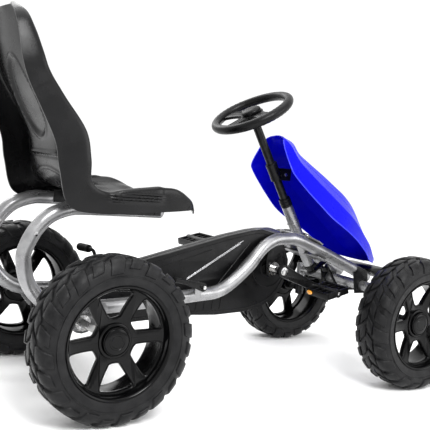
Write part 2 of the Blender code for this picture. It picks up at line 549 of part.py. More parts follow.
# ---- crank, pedals and chain drive --------------------------------------------
node("crank_axle", rod((-0.1035, CRANK_Y, CRANK_Z), (0.1035, CRANK_Y, CRANK_Z), 0.0080, 12), "steel", "pivot_crank")
for side, sx in (("right", -1), ("left", 1)):
    c, p = (CRANK_Y, CRANK_Z), (PEDAL[side].y, PEDAL[side].z)
    arm = plate(hull2(c, 0.0160, p, 0.0110), 0.011, yz(sx * 0.0985), [circle(*c, 0.0083, 12)])
    arm = join(arm, rod((sx * 0.0985, *p), (sx * 0.2040, *p), 0.0045, 8))
    node("crank_arm_" + side, arm, "black_steel", "pivot_crank")
    node("crank_bolt_" + side, rod((sx * 0.1043, *c), (sx * 0.1100, *c), 0.0095, 6), "steel", "pivot_crank")
    # cage pedal: side rails and cross bars round a spindle tube
    tilt = Matrix.Translation((0, *p)) @ Matrix.Rotation(math.radians(-14), 4, "X")
    loop = lambda x0, x1, y0, y1: [(x0, y0), (x1, y0), (x1, y1), (x0, y1)]
    cage = plate(loop(sx * 0.1120, sx * 0.2000, -0.036, 0.036), 0.018, tilt, [loop(sx * 0.1180, sx * 0.1940, -0.029, -0.0105), loop(sx * 0.1180, sx * 0.1940, 0.0105, 0.029)])
    core = cut(join(cage, rod((sx * 0.1100, *p), (sx * 0.2010, *p), 0.0105, 10)), rod((sx * 0.10, *p), (sx * 0.22, *p), 0.0048, 10))
    node("pedal_" + side, core, "black_plastic", "pivot_pedal_" + side)
    lens = plate(loop(sx * 0.122, sx * 0.140, -0.0050, 0.0050), 0.0025, tilt @ Matrix.Translation((0, -0.0377 * sx, 0)) @ Matrix.Rotation(math.pi / 2, 4, "X"))
    node("pedal_reflector_" + side, lens, "amber", "pivot_pedal_" + side)


def sprocket(r, teeth, hub, bore, x):
    """A toothed plate with a hub, its bore clear of the shaft."""
    outline = []
    for k in range(teeth):
        a = 2 * math.pi * k / teeth
        s = math.pi / teeth
        outline += [((r + 0.0014) * math.cos(a + s), (r + 0.0014) * math.sin(a + s)), ((r - 0.0042) * math.cos(a), (r - 0.0042) * math.sin(a))]
    outline = sorted(outline, key=lambda q: math.atan2(q[1], q[0]))
    return cut(join(plate(outline, 0.0024, Matrix()), rod((0, 0, -0.006), (0, 0, 0.006), hub, 12)), rod((0, 0, -0.02), (0, 0, 0.02), bore, 12))


for name, r, teeth, hub, bore, y, z, group in (("front_sprocket", FRONT_R, FRONT_T, 0.016, 0.0083, CRANK_Y, CRANK_Z, "pivot_crank"),
                                               ("rear_sprocket", REAR_R, REAR_T, 0.015, REAR_SHAFT_R + GAP, AXLE_Y, WHEEL_R, "pivot_rear_axle")):
    me = sprocket(r, teeth, hub, bore, CHAIN_X)
    me.transform(Matrix.Translation((0, y, z)) @ yz(CHAIN_X))
    node(name, me, "steel", group)

# chain: a flat band round both sprockets, outside their tooth tips
def chain_loop(extra, n=10):
    return hull2((CRANK_Y, CRANK_Z), FRONT_R + extra, (AXLE_Y, WHEEL_R), REAR_R + extra, n)


node("chain", plate(chain_loop(0.0056), 0.0055, yz(CHAIN_X), [chain_loop(0.0028)]), "steel")

# chain guard: two pans that close on each other in the chain plane
GUARD = [(0.436, 0.2105), (0.250, 0.2890), (0.014, 0.3530), (-0.060, 0.3690), (-0.092, 0.3730), (-0.135, 0.3630), (-0.168, 0.3350),
         (-0.1875, 0.2950), (-0.1890, 0.2600), (-0.1740, 0.2210), (-0.1470, 0.1890), (-0.1050, 0.1670), (-0.0470, 0.1570), (0.0300, 0.1520),
         (0.1000, 0.1540), (0.2500, 0.1440), (0.436, 0.1290), (0.458, 0.1350), (0.4725, 0.1510), (0.4770, 0.1700), (0.4725, 0.1890), (0.458, 0.2045)]


def inset(pts, d):
    """The outline moved inwards by d."""
    n = len(pts)
    area = sum(pts[i][0] * pts[(i + 1) % n][1] - pts[(i + 1) % n][0] * pts[i][1] for i in range(n))
    s = 1 if area > 0 else -1
    out = []
    for i in range(n):
        a, b, c = Vector(pts[i - 1]), Vector(pts[i]), Vector(pts[(i + 1) % n])
        n1 = Vector((-(b - a).y, (b - a).x)).normalized() * s
        n2 = Vector((-(c - b).y, (c - b).x)).normalized() * s
        m = (n1 + n2).normalized()
        out.append(tuple(b + m * d / max(0.5, m.dot(n1))))
    return out


for side, sx, x_out in (("outer", -1, -0.0380), ("inner", 1, -0.0010)):
    x_in = CHAIN_X + sx * 0.00015
    wall = plate(GUARD, abs(x_out - x_in), yz((x_out + x_in) / 2), [inset(GUARD, 0.0025)])
    base = plate(inset(GUARD, 0.0009), 0.0024, yz(x_out - sx * 0.0014), [circle(CRANK_Y, CRANK_Z, 0.0120, 12), circle(AXLE_Y, WHEEL_R, 0.0130, 12)])
    node("chain_guard_" + side, join(wall, base), "black_plastic")

# ---- brake and levers -----------------------------------------------------------
node("brake_drum", turned([(REAR_SHAFT_R + GAP, 0), (0.018, 0), (0.018, 0.004), (0.040, 0.006), (0.040, 0.022), (0.0365, 0.022), (0.0365, 0.010), (REAR_SHAFT_R + GAP, 0.010)], 16, (0.046, AXLE_Y, WHEEL_R), (0.1, AXLE_Y, WHEEL_R)), "steel", "pivot_rear_axle")
band = plate([(AXLE_Y + 0.0432 * math.cos(math.radians(a)), WHEEL_R + 0.0432 * math.sin(math.radians(a))) for a in range(100, 425, 18)]
             + [(AXLE_Y + 0.0412 * math.cos(math.radians(a)), WHEEL_R + 0.0412 * math.sin(math.radians(a))) for a in range(424, 99, -18)], 0.012, yz(0.061))
node("brake_band", band, "black_steel")
lever = join(plate(hull2((BRAKE.y, BRAKE.z), 0.0120, (0.2880, 0.2640), 0.0070), 0.006, yz(0.1350), [circle(BRAKE.y, BRAKE.z, 0.0050, 8)]),
             tube(smooth_path([(0.1350, 0.2860, 0.2620), (0.1350, 0.2930, 0.2740), (0.1365, 0.2970, 0.2840), (0.1430, 0.3010, 0.2880), (0.1500, 0.3030, 0.2880)], 2), 0.0042, 2))
node("brake_lever", lever, "black_steel", "pivot_brake_lever")
grip = rod((0.1513, 0.3032, 0.2880), (0.2000, 0.3070, 0.2860), 0.0100, 10)
node("brake_grip", grip, "rubber", "pivot_brake_lever")
node("gear_lever", join(plate(hull2((GEAR.y, GEAR.z), 0.0105, (0.178, 0.2530), 0.0060), 0.005, yz(-0.118), [circle(GEAR.y, GEAR.z, 0.0050, 8)]),
                        tube(smooth_path([(-0.118, 0.174, 0.2520), (-0.119, 0.192, 0.2560), (-0.120, 0.209, 0.2585)], 2), 0.0065, 2)), "black_steel", "pivot_gear_lever")

for me in [m for m in bpy.data.meshes if m.users == 0]:
    bpy.data.meshes.remove(me)
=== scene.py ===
import json
import math

import bmesh
import bpy
import numpy as np
from mathutils import Matrix, Vector, noise


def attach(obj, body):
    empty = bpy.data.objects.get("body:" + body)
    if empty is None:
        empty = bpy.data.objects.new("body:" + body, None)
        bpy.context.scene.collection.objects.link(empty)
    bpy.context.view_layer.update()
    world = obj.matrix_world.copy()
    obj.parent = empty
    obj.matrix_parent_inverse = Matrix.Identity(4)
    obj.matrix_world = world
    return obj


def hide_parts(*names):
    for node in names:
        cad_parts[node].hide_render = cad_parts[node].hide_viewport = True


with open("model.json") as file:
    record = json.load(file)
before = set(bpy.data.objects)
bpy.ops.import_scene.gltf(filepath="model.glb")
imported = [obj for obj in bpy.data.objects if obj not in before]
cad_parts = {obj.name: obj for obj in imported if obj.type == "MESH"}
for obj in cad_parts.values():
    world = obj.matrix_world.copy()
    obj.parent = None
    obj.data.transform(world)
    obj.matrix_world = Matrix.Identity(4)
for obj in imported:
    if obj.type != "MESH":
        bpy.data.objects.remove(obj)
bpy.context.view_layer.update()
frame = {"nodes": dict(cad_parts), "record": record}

NODES = frame["nodes"]
# everything below is written with Y = 0 midway between the axles, then moved by SHIFT
SHIFT = Vector((0, -0.011, 0))
AXLE_Y, TRACK, WHEEL_R = 0.43625, 0.2686, 0.170
KING_X, KING_ARM, BEAM_Z, BEAM_R = 0.195, 0.046, 0.228, 0.0135
CRANK_Y, CRANK_Z, CRANK_ARM, CRANK_A = -0.124, 0.2745, 0.1125, math.radians(21.1)
PEDAL_X, TUBE_R = 0.158, 0.016
COL_TOP = Vector((0, -0.069, 0.634))
COL_UP = Vector((0, 0.5336, 0.8456)).normalized()
COL_BACK = Vector((0, COL_UP.z, -COL_UP.y))
COL_R = 0.011
BRAKE = Vector((0.135, 0.262, 0.232))
GEAR = Vector((-0.118, 0.128, 0.240))
SIDES = (("right", -1), ("left", 1))
scene = bpy.context.scene
scene.view_settings.view_transform = "Standard"
scene.view_settings.exposure = 0.12
work = bpy.data.collections.new("work")
scene.collection.children.link(work)


# ---------------------------------------------------------------- materials
def material(name, base, alt, rough, metal=0.0, mottle=30.0, grain=900.0, bump=0.15, depth=0.0004, spread=0.08, wear=None, coat=0.0, coat_rough=0.1, ior=1.5, stretch=None, cells=None, spec=0.5):
    """Two close colours mixed by a broad noise, with roughness variation and a fine grain in the bump."""
    m = bpy.data.materials.new(name)
    m.use_nodes = True
    nt = m.node_tree
    b = nt.nodes["Principled BSDF"]
    b.inputs["Metallic"].default_value = metal
    b.inputs["IOR"].default_value = ior
    b.inputs["Specular IOR Level"].default_value = spec
    b.inputs["Coat Weight"].default_value = coat
    b.inputs["Coat Roughness"].default_value = coat_rough
    tc = nt.nodes.new("ShaderNodeTexCoord")
    mp = nt.nodes.new("ShaderNodeMapping")
    mp.inputs["Scale"].default_value = stretch or (1, 1, 1)
    nt.links.new(tc.outputs["Object"], mp.inputs["Vector"])

    def noise_node(scale, detail, source):
        n = nt.nodes.new("ShaderNodeTexNoise")
        n.inputs["Scale"].default_value = scale
        n.inputs["Detail"].default_value = detail
        nt.links.new(source, n.inputs["Vector"])
        return n

    def ramp(src, lo, hi, a, c):
        r = nt.nodes.new("ShaderNodeValToRGB")
        r.color_ramp.elements[0].position = lo
        r.color_ramp.elements[1].position = hi
        r.color_ramp.elements[0].color = a
        r.color_ramp.elements[1].color = c
        nt.links.new(src, r.inputs["Fac"])
        return r

    big = noise_node(mottle, 5.0, tc.outputs["Object"])
    tone = ramp(big.outputs["Fac"], 0.35, 0.68, (*base, 1), (*alt, 1))
    colour = tone.outputs["Color"]
    if cells:
        v = nt.nodes.new("ShaderNodeTexVoronoi")
        v.inputs["Scale"].default_value = cells
        nt.links.new(tc.outputs["Object"], v.inputs["Vector"])
    if wear:
        g = nt.nodes.new("ShaderNodeNewGeometry")
        edge = ramp(g.outputs["Pointiness"], 0.52, 0.60, (0, 0, 0, 1), (1, 1, 1, 1))
        spots = noise_node(mottle * 4, 6.0, tc.outputs["Object"])
        gate = ramp(spots.outputs["Fac"], 0.48, 0.62, (0, 0, 0, 1), (1, 1, 1, 1))
        mul = nt.nodes.new("ShaderNodeMath")
        mul.operation = "MULTIPLY"
        nt.links.new(edge.outputs["Color"], mul.inputs[0])
        nt.links.new(gate.outputs["Color"], mul.inputs[1])
        half = nt.nodes.new("ShaderNodeMath")
        half.operation = "MULTIPLY"
        half.inputs[1].default_value = 0.5
        nt.links.new(mul.outputs[0], half.inputs[0])
        mx = nt.nodes.new("ShaderNodeMix")
        mx.data_type = "RGBA"
        mx.inputs["B"].default_value = (*wear, 1)
        for i in mx.inputs:
            if i.type == "RGBA" and i.name == "B":
                i.default_value = (*wear, 1)
        nt.links.new(half.outputs[0], mx.inputs[0])
        nt.links.new(colour, [i for i in mx.inputs if i.type == "RGBA" and i.name == "A"][0])
        colour = [o for o in mx.outputs if o.type == "RGBA"][0]
    nt.links.new(colour, b.inputs["Base Color"])
    rn = noise_node(mottle * 2.3, 4.0, mp.outputs["Vector"])
    rr = nt.nodes.new("ShaderNodeMapRange")
    rr.inputs["From Min"].default_value = 0.3
    rr.inputs["From Max"].default_value = 0.7
    rr.inputs["To Min"].default_value = max(0.03, rough - spread)
    rr.inputs["To Max"].default_value = min(1.0, rough + spread)
    nt.links.new(rn.outputs["Fac"], rr.inputs["Value"])
    nt.links.new(rr.outputs["Result"], b.inputs["Roughness"])
    fine = noise_node(grain, 3.0, mp.outputs["Vector"])
    bp = nt.nodes.new("ShaderNodeBump")
    bp.inputs["Strength"].default_value = bump
    bp.inputs["Distance"].default_value = depth
    nt.links.new(v.outputs["Distance"] if cells else fine.outputs["Fac"], bp.inputs["Height"])
    nt.links.new(bp.outputs["Normal"], b.inputs["Normal"])
    m.diffuse_color = (*base, 1)
    return m


M = {
    "frame_silver": material("silver_paint", (0.22, 0.22, 0.225), (0.36, 0.36, 0.365), 0.30, 0.75, 26, 1500, 0.16, 0.0003, 0.08, (0.15, 0.15, 0.16), stretch=(1, 0.35, 1)),
    "black_paint": material("black_paint", (0.002, 0.002, 0.0022), (0.006, 0.006, 0.0065), 0.30, 0.0, 25, 1400, 0.14, 0.0002, 0.08, (0.03, 0.03, 0.03), spec=0.16),
    "bright_steel": material("zinc_steel", (0.42, 0.42, 0.43), (0.58, 0.58, 0.57), 0.26, 1.0, 60, 900, 0.12, 0.0002, 0.10, (0.30, 0.28, 0.25), stretch=(0.2, 1, 1)),
    "black_plastic": material("black_plastic", (0.0018, 0.0018, 0.002), (0.005, 0.005, 0.0055), 0.32, 0.0, 20, 2000, 0.25, 0.0003, 0.08, spec=0.15),
    "seat_plastic": material("seat_plastic", (0.0022, 0.0022, 0.0024), (0.005, 0.005, 0.0055), 0.26, 0.0, 9, 1700, 0.22, 0.0003, 0.06, spec=0.22),
    "rim_gloss": material("gloss_black", (0.0008, 0.0008, 0.001), (0.002, 0.002, 0.0022), 0.18, 0.0, 22, 700, 0.06, 0.0002, 0.07, spec=0.13, coat=0.04, coat_rough=0.1),
    "tyre_rubber": material("tyre_rubber", (0.0025, 0.0025, 0.003), (0.009, 0.009, 0.0095), 0.40, 0.0, 45, 1300, 0.60, 0.0006, 0.12, (0.022, 0.022, 0.022), spec=0.17),
    "fairing_blue": material("blue_plastic", (0.0003, 0.0003, 0.40), (0.0006, 0.0006, 0.56), 0.26, 0.0, 5, 900, 0.04, 0.0002, 0.05, spec=0.03, coat=0.01, coat_rough=0.15),
    # painted highlight: a far lighter blue than the fairing, put on the edge and crease beads where light catches them
    "blue_painted_highlight": material("blue_painted_highlight", (0.030, 0.040, 0.85), (0.050, 0.060, 0.95), 0.30, 0.0, 9, 900, 0.04, 0.0002, 0.05, spec=0.2),
    "grip_rubber": material("grip_rubber", (0.002, 0.002, 0.002), (0.006, 0.006, 0.006), 0.55, 0.0, 60, 1100, 0.6, 0.0004, 0.08, spec=0.15),
    "amber_reflector": material("amber_lens", (0.80, 0.30, 0.02), (0.90, 0.40, 0.03), 0.14, 0.0, 30, 700, 0.55, 0.0006, 0.04, coat=0.6, coat_rough=0.03, cells=420),
    "trim": material("trim_line", (0.30, 0.30, 0.31), (0.42, 0.42, 0.43), 0.30, 0.4, 40, 1300, 0.08, 0.0002, 0.06),
}


# ---------------------------------------------------------------- mesh helpers
def mesh_from(ob):
    bpy.context.view_layer.update()
    me = bpy.data.meshes.new_from_object(ob.evaluated_get(bpy.context.evaluated_depsgraph_get()))
    me.transform(ob.matrix_world)
    bpy.data.objects.remove(ob, do_unlink=True)
    me.materials.clear()
    return me


def temp(data):
    ob = bpy.data.objects.new("tmp", data)
    work.objects.link(ob)
    return ob


def cleaned(me, dist=1e-5):
    bm = bmesh.new()
    bm.from_mesh(me)
    bmesh.ops.remove_doubles(bm, verts=bm.verts, dist=dist)
    bmesh.ops.recalc_face_normals(bm, faces=bm.faces)
    bm.to_mesh(me)
    bm.free()
    return me


def axis_matrix(a, b, turn=0.0):
    a, b = Vector(a), Vector(b)
    return Matrix.Translation(a) @ (b - a).to_track_quat("Z", "Y").to_matrix().to_4x4() @ Matrix.Rotation(turn, 4, "Z")


def lathe(profile, a=(0, 0, 0), b=(0, 0, 1), n=64, turn=0.0):
    """A closed (r, z) outline turned about a to b."""
    verts, faces, rings = [], [], []
    for r, z in profile:
        if r < 1e-6:
            rings.append([len(verts)])
            verts.append((0, 0, z))
        else:
            rings.append(list(range(len(verts), len(verts) + n)))
            verts += [(r * math.cos(2 * math.pi * k / n), r * math.sin(2 * math.pi * k / n), z) for k in range(n)]
    for i in range(len(rings)):
        p, q = rings[i], rings[(i + 1) % len(rings)]
        if len(p) == 1 and len(q) == 1:
            continue
        for k in range(n):
            l = (k + 1) % n
            if len(p) == 1:
                faces.append((p[0], q[l], q[k]))
            elif len(q) == 1:
                faces.append((p[k], p[l], q[0]))
            else:
                faces.append((p[k], p[l], q[l], q[k]))
    me = bpy.data.meshes.new("lathe")
    me.from_pydata(verts, [], faces)
    me.transform(axis_matrix(a, b, turn))
    return cleaned(me)


def rod(a, b, r, n=32, bevel=0.0008):
    h = (Vector(b) - Vector(a)).length
    e = min(bevel, r * 0.4, h * 0.4)
    return lathe([(0, 0), (r - e, 0), (r - e * 0.3, e * 0.3), (r, e), (r, h - e), (r - e * 0.3, h - e * 0.3), (r - e, h), (0, h)], a, b, n)


def smooth_path(pts, per=6, cyclic=False):
    p = [Vector(q) for q in pts]
    if cyclic:
        p = [p[-1]] + p + [p[0], p[1]]
        last = len(p) - 2
    else:
        p = [2 * p[0] - p[1]] + p + [2 * p[-1] - p[-2]]
        last = len(p) - 2
    out = []
    for i in range(1, last):
        for k in range(per):
            t = k / per
            out.append(0.5 * ((2 * p[i]) + (p[i + 1] - p[i - 1]) * t + (2 * p[i - 1] - 5 * p[i] + 4 * p[i + 1] - p[i + 2]) * t * t
                              + (3 * p[i] - p[i - 1] - 3 * p[i + 1] + p[i + 2]) * t ** 3))
    if not cyclic:
        out.append(p[last])
    return out


def tube(points, r, sides=24, cyclic=False, squash_z=1.0, inner=None):
    """A round tube along points, its open ends closed by a slightly sunk cap. The inner argument is not used."""
    pts = [Vector(q) for q in points]
    n = len(pts)
    tans = []
    for i in range(n):
        a = pts[i - 1] if (i or cyclic) else pts[0]
        b = pts[(i + 1) % n] if (i < n - 1 or cyclic) else pts[-1]
        tans.append((b - a).normalized())
    up = Vector((0, 0, 1))
    if abs(tans[0].dot(up)) > 0.95:
        up = Vector((1, 0, 0))
    u = (up - tans[0] * up.dot(tans[0])).normalized()
    frames = []
    for i in range(n):
        u = (u - tans[i] * u.dot(tans[i])).normalized()
        frames.append((u.copy(), tans[i].cross(u)))
    if cyclic:
        last_u = frames[-1][0]
        turned = (last_u - tans[0] * last_u.dot(tans[0])).normalized()
        twist = math.atan2(turned.dot(frames[0][1]), turned.dot(frames[0][0]))
        frames = [(f[0] * math.cos(-twist * i / n) + f[1] * math.sin(-twist * i / n), tans[i].cross(f[0] * math.cos(-twist * i / n) + f[1] * math.sin(-twist * i / n))) for i, f in enumerate(frames)]
    verts, faces = [], []
    radius = r if callable(r) else (lambda i: r)
    for i in range(n):
        for k in range(sides):
            t = 2 * math.pi * k / sides
            verts.append(pts[i] + frames[i][0] * math.cos(t) * radius(i) + frames[i][1] * math.sin(t) * radius(i) * squash_z)
    for i in range(n if cyclic else n - 1):
        j = (i + 1) % n
        for k in range(sides):
            l = (k + 1) % sides
            faces.append((i * sides + k, i * sides + l, j * sides + l, j * sides + k))
    if not cyclic:
        for end, flip in ((0, True), (n - 1, False)):
            ringv = [end * sides + k for k in range(sides)]
            e = 0.12 * radius(end)
            inner_ring = []
            for k in range(sides):
                inner_ring.append(len(verts))
                verts.append(pts[end] + (verts[ringv[k]] - pts[end]) * (1 - 0.12) + tans[end] * (e * (-1 if flip else 1)) * 0.5)
            for k in range(sides):
                l = (k + 1) % sides
                faces.append((ringv[k], ringv[l], inner_ring[l], inner_ring[k]))
            faces.append(tuple(inner_ring))
    me = bpy.data.meshes.new("tube")
    me.from_pydata([tuple(v) for v in verts], [], faces)
    return cleaned(me)


def plate(outline, thick, place, holes=(), bevel=0.0006):
    """A flat outline with rounded edges, thick along local Z, centred."""
    cu = bpy.data.curves.new("outline", "CURVE")
    cu.dimensions = "2D"
    cu.fill_mode = "BOTH"
    bevel = min(bevel, thick * 0.4)
    cu.extrude = thick / 2 - bevel
    cu.bevel_depth = bevel
    cu.bevel_resolution = 1
    cu.offset = -bevel
    cu.render_resolution_u = 0
    for loop in [outline] + list(holes):
        sp = cu.splines.new("POLY")
        sp.points.add(len(loop) - 1)
        for q, v in zip(sp.points, loop):
            q.co = (v[0], v[1], 0, 1)
        sp.use_cyclic_u = True
    ob = temp(cu)
    ob.matrix_world = place
    return cleaned(mesh_from(ob), 2e-6)


def circle(x, y, r, n=32, start=0.0):
    return [(x + r * math.cos(start + 2 * math.pi * k / n), y + r * math.sin(start + 2 * math.pi * k / n)) for k in range(n)]


def hull2(c1, r1, c2, r2, n=14):
    """Outline round two circles."""
    (x1, y1), (x2, y2) = c1, c2
    d = math.hypot(x2 - x1, y2 - y1)
    base = math.atan2(y2 - y1, x2 - x1)
    beta = math.acos((r1 - r2) / d)
    out = []
    for k in range(n + 1):
        a = base + beta + (2 * math.pi - 2 * beta) * k / n
        out.append((x1 + r1 * math.cos(a), y1 + r1 * math.sin(a)))
    for k in range(n + 1):
        a = base - beta + 2 * beta * k / n
        out.append((x2 + r2 * math.cos(a), y2 + r2 * math.sin(a)))
    return out


def yz(x):
    return Matrix(((0, 0, 1, x), (1, 0, 0, 0), (0, 1, 0, 0), (0, 0, 0, 1)))


def xy(z):
    return Matrix.Translation((0, 0, z))


def rounded(pts, times=3):
    """Corner cutting of a closed outline."""
    for _ in range(times):
        out = []
        for i in range(len(pts)):
            a, b = pts[i], pts[(i + 1) % len(pts)]
            out += [(a[0] * 0.75 + b[0] * 0.25, a[1] * 0.75 + b[1] * 0.25), (a[0] * 0.25 + b[0] * 0.75, a[1] * 0.25 + b[1] * 0.75)]
        pts = out
    return pts


def box(lo, hi, bevel=0.001):
    bm = bmesh.new()
    bmesh.ops.create_cube(bm, size=1.0)
    lo, hi = Vector(lo), Vector(hi)
    bm.transform(Matrix.Translation((lo + hi) / 2) @ Matrix.Diagonal((*(hi - lo), 1)))
    bmesh.ops.bevel(bm, geom=list(bm.edges), offset=min(bevel, min(hi - lo) * 0.3), segments=2, affect="EDGES", profile=0.6)
    me = bpy.data.meshes.new("box")
    bm.to_mesh(me)
    bm.free()
    return me


def moved(me, m):
    me = me.copy()
    me.transform(m)
    return me


def piece(name, parts, body, replaces=(), angle=32, shift=True):
    """One visible piece: meshes with their materials joined, riding on a body."""
    me = bpy.data.meshes.new(name)
    bm = bmesh.new()
    mats = []
    for part, mat in parts:
        mat = M[mat]
        if mat not in mats:
            mats.append(mat)
        start = len(bm.faces)
        bm.from_mesh(part)
        bm.faces.ensure_lookup_table()
        for f in bm.faces[start:]:
            f.material_index = mats.index(mat)
            f.smooth = True
    bmesh.ops.dissolve_degenerate(bm, dist=1e-7, edges=bm.edges)
    if shift:
        bmesh.ops.translate(bm, vec=SHIFT, verts=bm.verts)
    bm.to_mesh(me)
    bm.free()
    for m in mats:
        me.materials.append(m)
    me.set_sharp_from_angle(angle=math.radians(angle))
    ob = bpy.data.objects.new(name, me)
    scene.collection.objects.link(ob)
    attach(ob, body)
    if replaces:
        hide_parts(*replaces)
    return ob


def col(s, back=0.0, x=0.0):
    return COL_TOP - COL_UP * s + COL_BACK * back + Vector((x, 0, 0))


def hexagon(x0, x1, y, z, across, washer=0.0):
    lo, hi = min(x0, x1), max(x0, x1)
    parts = [plate(circle(y, z, across, 6, 0.3), hi - lo, yz((lo + hi) / 2), bevel=0.0009)]
    if washer:
        edge = x0
        d = 1 if x1 > x0 else -1
        parts.append(rod((edge, y, z), (edge + d * 0.0012, y, z), washer, 32, 0.0002))
    return parts


# ---------------------------------------------------------------- wheels
CARCASS = [(0.1165, 0.0462), (0.1200, 0.0478), (0.1262, 0.0494), (0.1320, 0.0504), (0.1338, 0.0508), (0.1346, 0.0522), (0.1362, 0.0523), (0.1370, 0.0506), (0.1440, 0.0494),
           (0.1520, 0.0470), (0.1588, 0.0425), (0.1624, 0.0350), (0.1644, 0.0240), (0.1652, 0.0120), (0.1654, 0.0)]
INNER = [(0.1590, 0.0), (0.1590, 0.0240), (0.1540, 0.0380), (0.1300, 0.0455), (0.1150, 0.0425)]


def patch_block(path, base, t0, t1, shear=0.0, taper=0.10, nu=3):
    """One tread block: path is its top line across, base the line it stands on, t0..t1 its turn round the wheel."""
    nv = len(path)
    verts, faces = [], []
    mid = (t0 + t1) / 2

    def at(r, x, t):
        return (r * math.cos(t), r * math.sin(t), x)

    for layer, line in ((0, base), (1, path)):
        for j, (r, x) in enumerate(line):
            for i in range(nu):
                t = t0 + (t1 - t0) * i / (nu - 1)
                if layer:
                    t = mid + (t - mid) * (1 - taper)
                t += shear * (j / (nv - 1) - 0.5)
                verts.append(at(r, x, t))
    off = nu * nv
    for j in range(nv - 1):
        for i in range(nu - 1):
            a = j * nu + i
            faces.append((off + a, off + a + 1, off + a + nu + 1, off + a + nu))
            faces.append((a, a + nu, a + nu + 1, a + 1))
    border = [i for i in range(nu)] + [j * nu + nu - 1 for j in range(1, nv)] + [(nv - 1) * nu + i for i in range(nu - 2, -1, -1)] + [j * nu for j in range(nv - 2, 0, -1)]
    for a, b in zip(border, border[1:] + border[:1]):
        faces.append((a, b, off + b, off + a))
    return verts, faces


def tyre_mesh():
    n = 96
    outline = CARCASS + [(r, -x) for r, x in reversed(CARCASS[:-1])] + [(r, -x) for r, x in reversed(INNER[1:])] + INNER
    carcass = lathe(outline, n=n)
    verts, faces = [], []
    pitches = 24
    step = 2 * math.pi / pitches

    def add(v, f):
        k = len(verts)
        verts.extend(v)
        faces.extend([tuple(k + q for q in g) for g in f])

    for k in range(pitches):
        t = k * step
        for s, lag in ((1, 0.0), (-1, 0.5)):
            tt = t + lag * step
            fl = lambda line: [(r, s * x) for r, x in line]
            # middle blocks, turned to a shallow V
            top = fl([(0.1699, 0.0025), (0.1699, 0.0085), (0.1697, 0.0150), (0.1694, 0.0200)])
            low = fl([(0.1625, 0.0015), (0.1625, 0.0085), (0.1624, 0.0150), (0.1618, 0.0212)])
            add(*patch_block(top, low, tt - 0.36 * step, tt + 0.36 * step, shear=0.42 * step))
            # shoulder blocks, long and short by turns, wrapping down the side
            if k % 2 == 0:
                top = fl([(0.1694, 0.0245), (0.1684, 0.0325), (0.1658, 0.0395), (0.1612, 0.0452), (0.1555, 0.0490), (0.1490, 0.0515), (0.1425, 0.0525)])
                low = fl([(0.1620, 0.0236), (0.1605, 0.0330), (0.1575, 0.0395), (0.1535, 0.0435), (0.1495, 0.0462), (0.1450, 0.0480), (0.1405, 0.0490)])
                w = 0.40
            else:
                top = fl([(0.1694, 0.0275), (0.1680, 0.0345), (0.1650, 0.0408), (0.1605, 0.0457), (0.1560, 0.0487), (0.1522, 0.0503)])
                low = fl([(0.1618, 0.0262), (0.1602, 0.0340), (0.1570, 0.0400), (0.1535, 0.0438), (0.1507, 0.0456), (0.1490, 0.0466)])
                w = 0.33
            add(*patch_block(top, low, tt + (0.5 - w) * step, tt + (0.5 + w) * step, shear=0.34 * step, taper=0.15))
    me = bpy.data.meshes.new("blocks")
    me.from_pydata(verts, [], faces)
    me = cleaned(me, 1e-7)
    ob = temp(me)
    b = ob.modifiers.new("edge", "BEVEL")
    b.width = 0.0014
    b.segments = 2
    b.limit_method = "ANGLE"
    b.angle_limit = math.radians(40)
    return carcass, mesh_from(ob)


